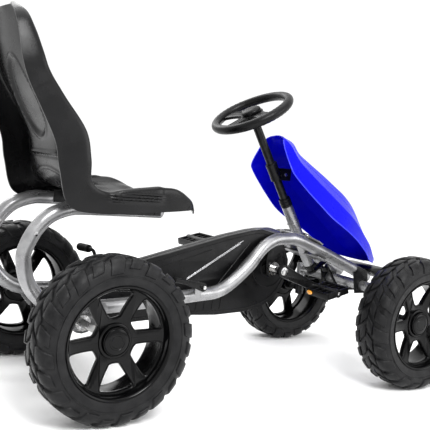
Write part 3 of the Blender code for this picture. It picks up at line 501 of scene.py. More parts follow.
def rim_parts():
    """Barrel, dished six-spoke face with raised window edges, and the hub."""
    barrel = lathe([(0.1128, 0.0440), (0.1150, 0.0452), (0.1157, 0.0468), (0.1153, 0.0479), (0.1140, 0.0480), (0.1115, 0.0466), (0.1092, 0.0440), (0.1075, 0.0380), (0.1068, 0.0280), (0.1066, 0.0180),
                    (0.1066, -0.0380), (0.1092, -0.0440), (0.1140, -0.0480), (0.1153, -0.0479), (0.1157, -0.0468), (0.1128, -0.0440), (0.1100, -0.0380), (0.1090, -0.0200), (0.1090, 0.0200), (0.1100, 0.0380)], n=112)

    def windows(grow):
        out = []
        for k in range(6):
            a0 = math.radians(60 * k + 5)
            half = lambda r, w: math.radians(30) - math.asin(min(0.99, (w / 2 - grow) / r))
            rs = [0.0480 - grow, 0.0560, 0.0700, 0.0840, 0.0940, 0.0990, 0.1020 + grow]
            ws = [0.0290, 0.0282, 0.0275, 0.0275, 0.0280, 0.0292, 0.0370]
            pts = [(r, -half(r, w)) for r, w in zip(rs, ws)]
            lim = half(rs[-1], ws[-1])
            pts += [(rs[-1], lim * q) for q in (-0.55, 0.0, 0.55)]
            pts += [(r, half(r, w)) for r, w in reversed(list(zip(rs, ws)))]
            out.append(rounded([(r * math.cos(a0 + t), r * math.sin(a0 + t)) for r, t in pts], 1))
        return out

    wins = windows(0.0)
    disc = plate(circle(0, 0, 0.1075, 112), 0.0125, xy(0.0100), [circle(0, 0, 0.033, 48)] + wins, 0.0022)
    bm = bmesh.new()
    bm.from_mesh(disc)
    bm.verts.ensure_lookup_table()

    def dish(r):
        """How far the face sweeps out from the hub to the flange."""
        t = max(0.0, min(1.0, (r - 0.040) / 0.066))
        return 0.0 + 0.0125 * t ** 2.2

    for v in bm.verts:
        v.co.z += dish(math.hypot(v.co.x, v.co.y))
    bm.to_mesh(disc)
    bm.free()
    beads = []
    for loop in windows(0.0022):
        path = [Vector((x, y, 0.0164 + dish(math.hypot(x, y)))) for x, y in loop]
        beads.append(tube(path, 0.0011, 8, True))
    hub = lathe([(0.0100, -0.0250), (0.0170, -0.0250), (0.0180, -0.0240), (0.0185, -0.0040), (0.0330, -0.0040), (0.0360, -0.0020), (0.0365, 0.0160), (0.0355, 0.0192), (0.0335, 0.0203), (0.0312, 0.0203), (0.0304, 0.0193), (0.0304, 0.0102), (0.0100, 0.0102)], n=72)
    ribs = []
    for k in range(6):
        a = math.radians(60 * k + 35)
        d = Vector((math.cos(a), math.sin(a), 0))
        path = [d * r + Vector((0, 0, 0.0158 + dish(r))) for r in (0.0375, 0.048, 0.060, 0.072, 0.084, 0.094, 0.1000)]
        ribs.append(tube(smooth_path(path, 3), 0.0007, 8))
    valve = [rod((0.0860 * math.cos(2.2), 0.0860 * math.sin(2.2), 0.0), (0.0860 * math.cos(2.2), 0.0860 * math.sin(2.2), 0.001), 0.002, 12)]
    return [barrel, disc, hub] + beads + ribs


CAP = [(0.0, 0.0285), (0.0120, 0.0284), (0.0128, 0.0276), (0.0160, 0.0276), (0.0168, 0.0283), (0.0246, 0.0278), (0.0262, 0.0268), (0.0268, 0.0250), (0.0272, 0.0249), (0.0278, 0.0262), (0.0288, 0.0263), (0.0294, 0.0252),
       (0.0295, 0.0120), (0.0280, 0.0108), (0.0266, 0.0106), (0.0264, 0.0230), (0.0, 0.0236)]
carcass, blocks = tyre_mesh()
rim_set = rim_parts()
cap = lathe(CAP, n=72)


def to_wheel(me, sx, y):
    return moved(me, Matrix(((0, 0, sx, sx * TRACK), (0, 1, 0, y), (-sx, 0, 0, WHEEL_R), (0, 0, 0, 1))))


for side, sx in SIDES:
    for end, y, body in (("front", -AXLE_Y, "front_wheel_" + side), ("rear", AXLE_Y, "rear_axle")):
        tag = end + "_" + side
        piece("tyre_skin_" + tag, [(to_wheel(carcass, sx, y), "tyre_rubber"), (to_wheel(blocks, sx, y), "tyre_rubber")], body, ["tyre_" + tag], 28)
        piece("rim_skin_" + tag, [(to_wheel(m, sx, y), "rim_gloss") for m in rim_set], body, ["rim_" + tag], 35)
        piece("cap_skin_" + tag, [(to_wheel(cap, sx, y), "rim_gloss")], body, ["hub_cap_" + tag], 30)

# ---------------------------------------------------------------- frame tubes
TUBE = [(0.115, 0.262, 0.4158), (0.115, 0.36, 0.4158), (0.115, 0.440, 0.4158), (0.115, 0.480, 0.4130), (0.115, 0.5225, 0.396), (0.115, 0.553, 0.364),
        (0.115, 0.5715, 0.3235), (0.115, 0.5725, 0.2985), (0.115, 0.5625, 0.261), (0.115, 0.541, 0.230),
        (0.115, 0.508, 0.207), (0.115, 0.465, 0.1985), (0.113, 0.400, 0.199), (0.105, 0.315, 0.2025),
        (0.090, 0.200, 0.209), (0.080, 0.110, 0.2145), (0.0745, 0.062, 0.2185), (0.070, 0.020, 0.236),
        (0.065, -0.037, 0.280), (0.060, -0.080, 0.3255), (0.0565, -0.118, 0.3465), (0.055, -0.160, 0.352),
        (0.055, -0.210, 0.3465), (0.055, -0.358, 0.292), (0.055, -0.464, 0.249)]


def weld(centre, axis, r, n=40):
    """A bead of weld round a joint."""
    c, ax = Vector(centre), Vector(axis).normalized()
    u = ax.orthogonal().normalized()
    w = ax.cross(u)
    pts = []
    for k in range(n):
        t = 2 * math.pi * k / n
        rr = r + 0.0004 * math.sin(9 * t)
        pts.append(c + u * rr * math.cos(t) + w * rr * math.sin(t))
    return tube(pts, 0.0016, 8, True)


for side, sx in SIDES:
    path = smooth_path([Vector((sx * x, y, z)) for x, y, z in TUBE], 7)
    parts = [(tube(path, TUBE_R, 36), "frame_silver")]
    # black plastic plugs in the ends
    for a, b in ((path[0], path[1]), (path[-1], path[-2])):
        d = (Vector(a) - Vector(b)).normalized()
        parts.append((rod(Vector(a) - d * 0.002, Vector(a) + d * 0.0022, 0.0148, 36, 0.0010), "black_plastic"))
    axle = [(0.385, 0.2135), (0.377, 0.196), (0.412, 0.155), (0.424, 0.148), (0.436, 0.146), (0.448, 0.148), (0.460, 0.155), (0.494, 0.196), (0.485, 0.2115), (0.455, 0.2085)]
    parts.append((plate(axle, 0.005, yz(sx * 0.1275), [circle(AXLE_Y, WHEEL_R, 0.0143, 40)], 0.0010), "frame_silver"))
    for q in (0.398, 0.470):
        parts.append((tube([(sx * 0.1245, q - 0.012, 0.2065), (sx * 0.1245, q, 0.2075), (sx * 0.1245, q + 0.012, 0.2065)], 0.0022, 8), "frame_silver"))
    crank = [(-0.152, 0.3450), (-0.105, 0.3350), (-0.1005, 0.300)] + [(CRANK_Y + 0.022 * math.cos(t), CRANK_Z + 0.022 * math.sin(t)) for t in [math.radians(a) for a in range(0, -181, -15)]] + [(-0.149, 0.300)]
    parts.append((plate(crank, 0.004, yz(sx * 0.0560), [circle(CRANK_Y, CRANK_Z, 0.0133, 40)], 0.0008), "black_paint"))
    parts.append((plate([(-0.462, 0.206), (-0.412, 0.206), (-0.400, 0.262), (-0.415, 0.282), (-0.452, 0.268)], 0.004, yz(sx * 0.0690), [circle(-AXLE_Y, BEAM_Z, BEAM_R + 0.0003, 36)], 0.0008), "black_paint"))
    at = BRAKE if side == "left" else GEAR
    ty, tz, tx = (at.y, 0.206, 0.1120) if side == "left" else (at.y, 0.214, 0.0955)
    parts.append((plate(hull2((at.y, at.z), 0.0090, (ty, tz), 0.0090), 0.006, yz(sx * tx), bevel=0.0010), "frame_silver"))
    parts.append((rod((sx * tx, at.y, at.z), (sx * (abs(at.x) - 0.0045), at.y, at.z), 0.0088, 32), "frame_silver"))
    parts.append((rod((sx * tx, at.y, at.z), (sx * (abs(at.x) + 0.0090), at.y, at.z), 0.0044, 24), "bright_steel"))
    # the small cross bolt in the C-bend
    by, bz = 0.5560, 0.3590
    parts.append((rod((sx * 0.0978, by, bz), (sx * 0.1322, by, bz), 0.0045, 24, 0.0006), "bright_steel"))
    piece("frame_tube_" + side, parts, "chassis", ["main_tube_" + side], 32)

# ---------------------------------------------------------------- steering head
slope = (Vector((0, -0.270, 0.3244)) - Vector((0, -0.205, 0.3478))).normalized()
up = Vector((0, -slope.z, slope.y)) * -1
mid = Vector((0, -0.2415, 0.3350)) + up * (TUBE_R + 0.0029)
place = Matrix(((1, 0, 0, 0), (0, slope.y, up.y, mid.y), (0, slope.z, up.z, mid.z), (0, 0, 0, 1)))
head_top = plate(rounded([(-0.071, -0.030), (0.071, -0.030), (0.071, 0.034), (0.040, 0.046), (-0.040, 0.046), (-0.071, 0.034)], 1), 0.004, place, bevel=0.0010)
lower_m = Matrix(((1, 0, 0, 0), (0, slope.y, up.y, -0.2865 - up.y * 0.0182), (0, slope.z, up.z, 0.3184 - up.z * 0.0182), (0, 0, 0, 1)))
head_low = plate([(-0.071, -0.020), (0.071, -0.020), (0.071, 0.020), (-0.071, 0.020)], 0.004, lower_m, bevel=0.0010)
head_h = (col(0.4225) - col(0.2355)).length
head_tube = lathe([(0.0128, 0), (0.0144, 0), (0.0150, 0.0006), (0.0150, head_h - 0.0006), (0.0144, head_h), (0.0128, head_h)], col(0.2355), col(0.4225), 48)
bolts = []
for bx in (-0.055, 0.055):
    for by in (-0.020, 0.024):
        p = place @ Vector((bx, by, 0.0018))
        q = place @ Vector((bx, by, 0.0058))
        bolts.append((lathe([(0, 0), (0.0062, 0), (0.0060, 0.0022), (0.0040, 0.0038), (0, 0.0042)], p, q, 24), "bright_steel"))
piece("head_unit", [(head_tube, "frame_silver"), (head_top, "frame_silver"), (head_low, "frame_silver"), (weld(col(0.2870), COL_UP, 0.0154), "frame_silver")] + bolts, "chassis", ["steering_head"], 32)
collar = lathe([(COL_R + 0.0003, 0), (0.0154, 0), (0.0158, 0.0006), (0.0158, 0.0054), (0.0142, 0.0066), (0.0142, 0.0082), (0.0158, 0.0092), (0.0158, 0.0148), (0.0142, 0.0160), (0.0142, 0.0172), (0.0158, 0.0182), (0.0150, 0.0232), (COL_R + 0.0003, 0.0232)], col(0.2352), col(0.2), 56)
piece("collar_rings", [(collar, "black_plastic")], "chassis", ["steering_collar"], 30)
lower_bush = lathe([(COL_R + 0.0003, 0), (0.0160, 0), (0.0165, 0.0006), (0.0165, 0.0038), (0.0125, 0.0045), (0.0125, 0.022), (COL_R + 0.0003, 0.022)], col(0.4270), col(0.40), 48)
piece("lower_bush_ring", [(lower_bush, "black_plastic")], "chassis", ["lower_bush"], 30)

# ---------------------------------------------------------------- front beam, knuckles, track rod
beam_parts = [(rod((-KING_X + 0.0078, -AXLE_Y, BEAM_Z), (KING_X - 0.0078, -AXLE_Y, BEAM_Z), BEAM_R, 40), "frame_silver")]
for s in (-1, 1):
    beam_parts.append((lathe([(0.0073, 0), (0.0129, 0), (0.0135, 0.0006), (0.0135, 0.0404), (0.0129, 0.041), (0.0073, 0.041)], (s * KING_X, -AXLE_Y, 0.2075), (s * KING_X, -AXLE_Y, 0.2485), 40), "frame_silver"))
    beam_parts.append((weld((s * (KING_X - 0.0125), -AXLE_Y, BEAM_Z), (1, 0, 0), 0.0128), "frame_silver"))
piece("beam_tube", beam_parts, "chassis", ["front_beam"], 32)
for side, sx in SIDES:
    k = Vector((sx * KING_X, -AXLE_Y, 0))
    z = lambda h: k + Vector((0, 0, h))
    parts = [rod(z(0.150), z(0.2500), 0.0070, 24), rod(z(0.152), z(0.2060), 0.0120, 32), rod(k + Vector((0, 0, WHEEL_R)), (sx * (TRACK - 0.0256), k.y, WHEEL_R), 0.0100, 32),
             rod(k + Vector((0, 0, WHEEL_R)), (sx * (TRACK + 0.0215), k.y, WHEEL_R), 0.0060, 24), plate(hull2((k.x, k.y), 0.0105, (k.x, k.y - KING_ARM), 0.0085), 0.005, xy(0.1985), bevel=0.0009),
             rod(z(0.2492), z(0.2530), 0.0108, 32, 0.0006), plate(circle(k.x, k.y, 0.0095, 6), 0.0032, xy(0.2533), bevel=0.0007), rod((k.x, k.y - KING_ARM, 0.1975), (k.x, k.y - KING_ARM, 0.2143), 0.0039, 20)]
    piece("knuckle_skin_" + side, [(p, "black_paint") for p in parts], "knuckle_" + side, ["knuckle_" + side], 32)
ty = -AXLE_Y - KING_ARM
pin_mid = col(0.4400 + 0.0245, -KING_ARM)


def eye(c, d, h, ro, ri):
    c, d = Vector(c), Vector(d).normalized()
    return lathe([(ri, 0), (ro - 0.0006, 0), (ro, 0.0006), (ro, h - 0.0006), (ro - 0.0006, h), (ri, h)], c - d * h / 2, c + d * h / 2, 36)


tr = [rod((-KING_X + 0.0072, ty, 0.2062), (KING_X - 0.0072, ty, 0.2062), 0.0042, 24), eye((-KING_X, ty, 0.2058), (0, 0, 1), 0.0088, 0.0090, 0.0046), eye((KING_X, ty, 0.2058), (0, 0, 1), 0.0088, 0.0090, 0.0046),
      tube(smooth_path([(0, ty, 0.2045), (0, -0.455, 0.2045), (0, -0.418, 0.2045), tuple(pin_mid + Vector((0, -0.009, 0.0015)))], 5), 0.0040, 16), eye(pin_mid, COL_UP, 0.012, 0.0100, 0.0060)]
piece("track_rod_skin", [(p, "black_paint") for p in tr], "track_rod", ["track_rod"], 32)

# ---------------------------------------------------------------- column, wheel, horn pad
piece("column_tube", [(rod(col(-0.006), col(0.4430), COL_R, 40), "black_paint")], "steering", ["steering_column"], 32)
P = col(0.4460)
pm = Matrix(((1, 0, 0, 0), (0, -COL_BACK.y, COL_UP.y, P.y), (0, -COL_BACK.z, COL_UP.z, P.z), (0, 0, 0, 1)))
piece("pitman_skin", [(plate(hull2((0, 0), 0.0135, (0, KING_ARM), 0.0090), 0.0055, pm, bevel=0.0009), "black_paint"), (rod(col(0.446, -KING_ARM), col(0.4740, -KING_ARM), 0.0040, 20), "bright_steel")], "steering", ["pitman_arm"], 32)
wc = COL_TOP + COL_UP * 0.040
wm = Matrix(((1, 0, 0, 0), (0, COL_BACK.y, COL_UP.y, wc.y), (0, COL_BACK.z, COL_UP.z, wc.z), (0, 0, 0, 1)))
rimpts = []
for i in range(96):
    t = 2 * math.pi * i / 96
    r = 0.1005 * (1 - 0.05 * max(0.0, math.sin(t)) ** 3)
    rimpts.append(wm @ Vector((r * math.cos(t), r * math.sin(t), 0)))


def grip_radius(i):
    t = 2 * math.pi * i / 96
    swell = max(0.0, math.cos(2 * t)) ** 2
    scallop = 0.00035 * math.cos(48 * t) if swell > 0.25 else 0.0
    return 0.0118 + 0.0006 * swell + scallop


wheel_parts = [tube(rimpts, grip_radius, 24, True)]
for a in (math.radians(8), math.radians(172), math.radians(90)):
    d = Vector((math.cos(a), math.sin(a)))
    nn = Vector((-d.y, d.x))
    r = 0.0985 * (0.955 if abs(a - math.pi / 2) < 0.1 else 1.0)
    wide = 0.0150 if abs(a - math.pi / 2) < 0.1 else 0.0175
    outline = [d * 0.0240 + nn * wide, d * 0.045 + nn * (wide - 0.0015), d * 0.066 + nn * wide, d * 0.086 + nn * (wide + 0.005), d * r + nn * (wide + 0.012),
               d * r - nn * (wide + 0.012), d * 0.086 - nn * (wide + 0.005), d * 0.066 - nn * wide, d * 0.045 - nn * (wide - 0.0015), d * 0.0240 - nn * wide]
    wheel_parts.append(plate([tuple(p) for p in outline], 0.0085, wm @ Matrix.Translation((0, 0, -0.003)), [], 0.0026))
    for off in (-0.006, 0.006):
        wheel_parts.append(tube([wm @ (Vector((d.x * q, d.y * q, 0.0008)) + Vector((nn.x * off, nn.y * off, 0))) for q in (0.034, 0.055, 0.082)], 0.0012, 8))
wheel_parts.append(lathe([(0, -0.0140), (0.0290, -0.0140), (0.0300, -0.0130), (0.0300, -0.0010), (0.0285, 0.0008), (0, 0.0008)], wm @ Vector((0, 0, 0)), wm @ Vector((0, 0, 1)), 56))
wheel_parts.append(lathe([(0.0114, 0), (0.0155, 0), (0.0162, 0.0008), (0.0170, 0.0280), (0.0114, 0.0280)], col(-0.0063), col(-0.034), 48))
piece("wheel_skin", [(p, "black_plastic") for p in wheel_parts], "steering", ["steering_wheel"], 35)
pad = lathe([(0.0, 0.0013), (0.0248, 0.0013), (0.0258, 0.0022), (0.0260, 0.0062), (0.0247, 0.0090), (0.0215, 0.0114), (0.0180, 0.0124), (0.0172, 0.0120), (0.0164, 0.0124), (0.0090, 0.0130), (0.0, 0.0130)], wm @ Vector((0, 0, 0)), wm @ Vector((0, 0, 1)), 64)
piece("pad_skin", [(pad, "black_plastic")], "steering", ["horn_pad"], 30)


# ---------------------------------------------------------------- lofted sheets
def spline_at(pts, t):
    """Catmull-Rom through pts, t from 0 to len - 1."""
    n = len(pts)
    i = min(int(t), n - 2)
    f = t - i
    g = lambda k: pts[max(0, min(n - 1, k))]
    p0, p1, p2, p3 = g(i - 1), g(i), g(i + 1), g(i + 2)
    return 0.5 * ((2 * p1) + (p2 - p0) * f + (2 * p0 - 5 * p1 + 4 * p2 - p3) * f * f + (3 * p1 - p0 - 3 * p2 + p3) * f ** 3)


def sheet_grid(rows, nu, nv, sharp_cols=False, vs=None):
    """Dense grid through a coarse half sheet. Rows along, columns across, last column on the middle plane."""
    cols = len(rows[0])
    out = []
    for a in range(nu + 1):
        t = a / nu * (len(rows) - 1)
        line = [spline_at([r[c] for r in rows], t) for c in range(cols)]
        dense = []
        for q in (vs or [b / nv for b in range(nv + 1)]):
            s = q * (cols - 1)
            if sharp_cols:
                i = min(int(s), cols - 2)
                dense.append(line[i].lerp(line[i + 1], s - i))
            else:
                ext = line + [Vector((-q.x, q.y, q.z)) for q in reversed(line[:-1])]
                dense.append(spline_at(ext, s))
        dense[-1].x = 0.0
        out.append(dense)
    return out


def shell_mesh(grid, thick, shape=None, rim=0.0):
    """Mirrored and thickened sheet, with an optional push along the normal."""
    nr, nc = len(grid), len(grid[0])
    full = [row + [Vector((-q.x, q.y, q.z)) for q in reversed(row[:-1])] for row in grid]
    w = len(full[0])
    pts = [[Vector(q) for q in row] for row in full]
    normals = []
    for i in range(nr):
        line = []
        for j in range(w):
            du = full[min(i + 1, nr - 1)][j] - full[max(i - 1, 0)][j]
            dv = full[i][min(j + 1, w - 1)] - full[i][max(j - 1, 0)]
            nn = du.cross(dv)
            line.append(nn.normalized() if nn.length > 1e-12 else Vector((0, 0, 1)))
        normals.append(line)
    if shape:
        for i in range(nr):
            for j in range(w):
                pts[i][j] = full[i][j] + normals[i][j] * shape(full[i][j], i / (nr - 1), j / (w - 1), normals[i][j])
    me = bpy.data.meshes.new("sheet")
    me.from_pydata([tuple(p) for row in pts for p in row], [], [(i * w + j, i * w + j + 1, (i + 1) * w + j + 1, (i + 1) * w + j) for i in range(nr - 1) for j in range(w - 1)])
    ob = temp(cleaned(me, 1e-6))
    s = ob.modifiers.new("wall", "SOLIDIFY")
    s.thickness = thick
    s.offset = 0
    s.use_even_offset = False
    b = ob.modifiers.new("edge", "BEVEL")
    b.width = thick * 0.3
    b.segments = 2
    b.limit_method = "ANGLE"
    b.angle_limit = math.radians(60)
    return cleaned(mesh_from(ob), 1e-7)


# ---------------------------------------------------------------- fairing
RIDGE = [(-0.142, 0.618), (-0.185, 0.603), (-0.209, 0.576), (-0.245, 0.554), (-0.300, 0.523), (-0.345, 0.496), (-0.382, 0.473),
         (-0.414, 0.446), (-0.440, 0.415), (-0.462, 0.381), (-0.485, 0.350), (-0.505, 0.320), (-0.520, 0.300), (-0.531, 0.285)]
EDGE = [(0.035, -0.131, 0.610), (0.055, -0.126, 0.582), (0.085, -0.127, 0.540), (0.092, -0.138, 0.520), (0.102, -0.175, 0.484),
        (0.112, -0.212, 0.452), (0.120, -0.250, 0.421), (0.124, -0.290, 0.397), (0.119, -0.327, 0.378), (0.111, -0.368, 0.354),
        (0.099, -0.410, 0.325), (0.080, -0.444, 0.301), (0.050, -0.488, 0.290), (0.012, -0.526, 0.284)]


def fairing_row(i):
    (ry, rz), e = RIDGE[i], Vector(EDGE[i])
    r = Vector((0, ry, rz))
    w = e.x
    front = r + Vector((0.16 * w, 0.004 * (w / 0.1), 0))
    span = e - front
    out = Vector((0.75, -0.5, 0.35)).normalized()
    m = front + span * 0.55 + out * 0.012 * min(1, w / 0.09)
    return [e, m, front, r]


rows = [fairing_row(i) for i in range(14)]
fgrid = sheet_grid(rows, 84, 24, sharp_cols=True)


fairing_parts = [(shell_mesh(fgrid, 0.0032), "fairing_blue")]
for sx in (-1, 1):
    # the lip and crease beads are coloured a lighter blue, a painted highlight along the edges where light catches them
    lip = [Vector((sx * row[0].x, row[0].y, row[0].z)) for row in fgrid[1:-1]]
    fairing_parts.append((tube(lip, 0.0016, 10), "blue_painted_highlight"))
    crease = [Vector((sx * row[13].x, row[13].y, row[13].z)) + Vector((sx * 0.0012, -0.0008, 0.0008)) for row in fgrid[8:60]]
    fairing_parts.append((tube(crease, 0.0008, 8), "blue_painted_highlight"))
piece("fairing_skin", fairing_parts, "chassis", ["fairing"], 12)
sleeve = lathe([(COL_R + 0.0003, 0), (0.0148, 0), (0.0155, 0.0008), (0.0155, 0.0100), (0.0150, 0.0106), (0.0150, 0.0374), (0.0155, 0.0380), (0.0155, 0.0472), (0.0148, 0.0480), (COL_R + 0.0003, 0.0480)], col(0.154), col(0.106), 56)
piece("clamp_skin", [(sleeve, "black_plastic"), (box((-0.011, -0.189, 0.502), (0.011, -0.152, 0.534), 0.0018), "black_plastic"),
                     (rod((-0.0135, -0.170, 0.518), (0.0135, -0.170, 0.518), 0.0042, 24), "bright_steel")], "chassis", ["fairing_clamp"], 32)
nose = rounded([(-0.560, 0.262), (-0.548, 0.250), (-0.500, 0.246), (-0.470, 0.262), (-0.452, 0.2735), (-0.470, 0.2785), (-0.545, 0.2765)], 2)
nose_plate = plate(nose, 0.150, yz(0), bevel=0.006)
nose_ob = temp(nose_plate)
cutters = []
for s in (-1, 1):
    c = temp(rod((s * 0.055, -0.40, 0.2755), (s * 0.055, -0.4720, 0.2458), TUBE_R + 0.0008, 32, 0.0001))
    c.hide_render = True
    m = nose_ob.modifiers.new("cut", "BOOLEAN")
    m.operation = "DIFFERENCE"
    m.object = c
    m.solver = "EXACT"
    cutters.append(c)
nose_mesh = mesh_from(nose_ob)
for c in cutters:
    bpy.data.objects.remove(c, do_unlink=True)
piece("nose_skin", [(nose_mesh, "black_plastic")], "chassis", ["nose_cover"], 32)

# ---------------------------------------------------------------- seat
SEAT = [((0.172, 0.4195), 0.108, 0.001, 0.004), ((0.187, 0.4300), 0.132, 0.002, 0.009), ((0.212, 0.4400), 0.150, 0.009, 0.026), ((0.260, 0.4410), 0.161, 0.0275, 0.0485),
        ((0.340, 0.4385), 0.163, 0.0235, 0.048), ((0.420, 0.4430), 0.163, 0.0105, 0.045), ((0.468, 0.4620), 0.163, 0.0135, 0.0675), ((0.494, 0.5100), 0.163, 0.0292, 0.070),
        ((0.509, 0.5650), 0.160, 0.030, 0.0685), ((0.545, 0.6300), 0.151, 0.0198, 0.0545), ((0.572, 0.6800), 0.143, 0.0137, 0.0475),
        ((0.5875, 0.7200), 0.137, 0.0125, 0.0438), ((0.600, 0.7600), 0.125, 0.010, 0.034), ((0.6085, 0.7980), 0.108, 0.006, 0.0260), ((0.6150, 0.8200), 0.066, 0.000, 0.010)]


def seat_row(i):
    (y, z), w, rise, depth = SEAT[i]
    a, b = Vector(SEAT[max(i - 1, 0)][0]), Vector(SEAT[min(i + 1, len(SEAT) - 1)][0])
    t = (b - a).normalized()
    n = Vector((-t.y, t.x))
    if i == 0:
        n = Vector((0, 1))
    p = lambda x, k: Vector((x, y + n.x * k, z + n.y * k))
    return [p(w + 0.004, rise - depth), p(w + 0.004, rise - 0.006), p(w - 0.004, rise), p(w * 0.86, rise * 0.55), p(w * 0.5, 0.0), p(0, -0.002)]


def bell(x, c, w):
    return math.exp(-((x - c) / w) ** 2)


def step(x, a, w):
    return 1 / (1 + math.exp(-max(-40.0, min(40.0, (x - a) / w))))


def seat_shape(p, u, v, n):
    """Pressed-in detail: a long oval in the back, a ridge under it, an arch, side bolsters, vent slots and thigh swells."""
    side = abs(p.x)
    push = 0.0
    if p.z > 0.50 and side < 0.150:
        # the middle panel stands out from the bolsters
        push += 0.0070 * step(side, 0.078, 0.0022) * (1 - step(side, 0.128, 0.006)) * step(p.z, 0.505, 0.008) * (1 - step(p.z, 0.770, 0.012))
        d = math.sqrt(((p.z - 0.640) / 0.080) ** 2 + (p.x / (0.056 - 0.10 * (p.z - 0.640))) ** 2)
        push += 0.0064 * (1 - step(d, 0.97, 0.030)) - 0.0022 * bell(d, 1.06, 0.042)
        if side < 0.074:
            push += -0.0034 * bell(p.z, 0.5250, 0.0036) + 0.0026 * bell(p.z, 0.5165, 0.0034)
    if side < 0.090 and 0.455 < p.z < 0.51:
        push += -0.0026 * bell(p.z, 0.492 - 2.6 * side ** 2, 0.0032) * (1 - step(side, 0.080, 0.004))
    if p.z < 0.475 and 0.24 < p.y < 0.43 and side > 0.158:
        # a sunk slot along the flank, with three louvres in it
        slot = step(p.y, 0.290, 0.0035) * (1 - step(p.y, 0.412, 0.0035)) * step(p.z, 0.437, 0.0012)
        push += 0.0042 * slot
        for g in (0.4405, 0.4465, 0.4525):
            push += -0.0028 * slot * bell(p.z, g, 0.0017)
    if p.z < 0.475 and 0.18 < p.y < 0.44:
        push += 0.0062 * bell(side, 0.108, 0.020) * bell(p.y, 0.335, 0.050)
        push += 0.0022 * bell(side, 0.0, 0.03) * bell(p.y, 0.290, 0.06)
        push += 0.0052 * bell(side, 0.118, 0.022) * bell(p.y, 0.228, 0.024)
    return push


seat_vs = [k / 34 for k in range(34)] + [1 + k / 10 for k in range(10)] + [2 + k / 14 for k in range(14)] + [3 + k / 22 for k in range(22)] + [4 + k / 24 for k in range(25)]
sgrid = sheet_grid([seat_row(i) for i in range(len(SEAT))], 340, 0, vs=[q / 5 for q in seat_vs])
mid_row, mid_col = len(sgrid) * 9 // 14, len(sgrid[0]) - 3
du = sgrid[mid_row + 1][mid_col] - sgrid[mid_row][mid_col]
dv = sgrid[mid_row][mid_col + 1] - sgrid[mid_row][mid_col]
sign = 1 if du.cross(dv).y < 0 else -1      # a positive push goes towards the sitter
seat_parts = [(shell_mesh(sgrid, 0.0040, lambda p, u, v, n: sign * seat_shape(p, u, v, n)), "seat_plastic")]
piece("seat_skin", seat_parts, "seat", ["seat_shell"], 40)
for side, sx in SIDES:
    parts = [(box((min(sx * 0.0955, sx * 0.15), 0.270, 0.4338), (max(sx * 0.0955, sx * 0.15), 0.430, 0.4364), 0.0007), "black_paint")]
    for a, b in ((0.0965, 0.0983), (0.1317, 0.1335)):
        lo, hi = sorted((sx * a, sx * b))
        parts.append((box((lo, 0.270, 0.4060), (hi, 0.430, 0.4350), 0.0004), "black_paint"))
    for y in (0.290, 0.399):
        parts.append((plate(circle(sx * 0.1420, y, 0.0060, 6), 0.0052, xy(0.4290), bevel=0.0006), "black_paint"))
        parts.append((rod((sx * 0.1420, y, 0.4316), (sx * 0.1420, y, 0.4340), 0.0064, 32, 0.0002), "black_paint"))
        parts.append((rod((sx * 0.1420, y, 0.4090), (sx * 0.1420, y, 0.4266), 0.0032, 20, 0.0004), "black_paint"))
    piece("rail_skin_" + side, parts, "seat", ["seat_rail_" + side], 32)

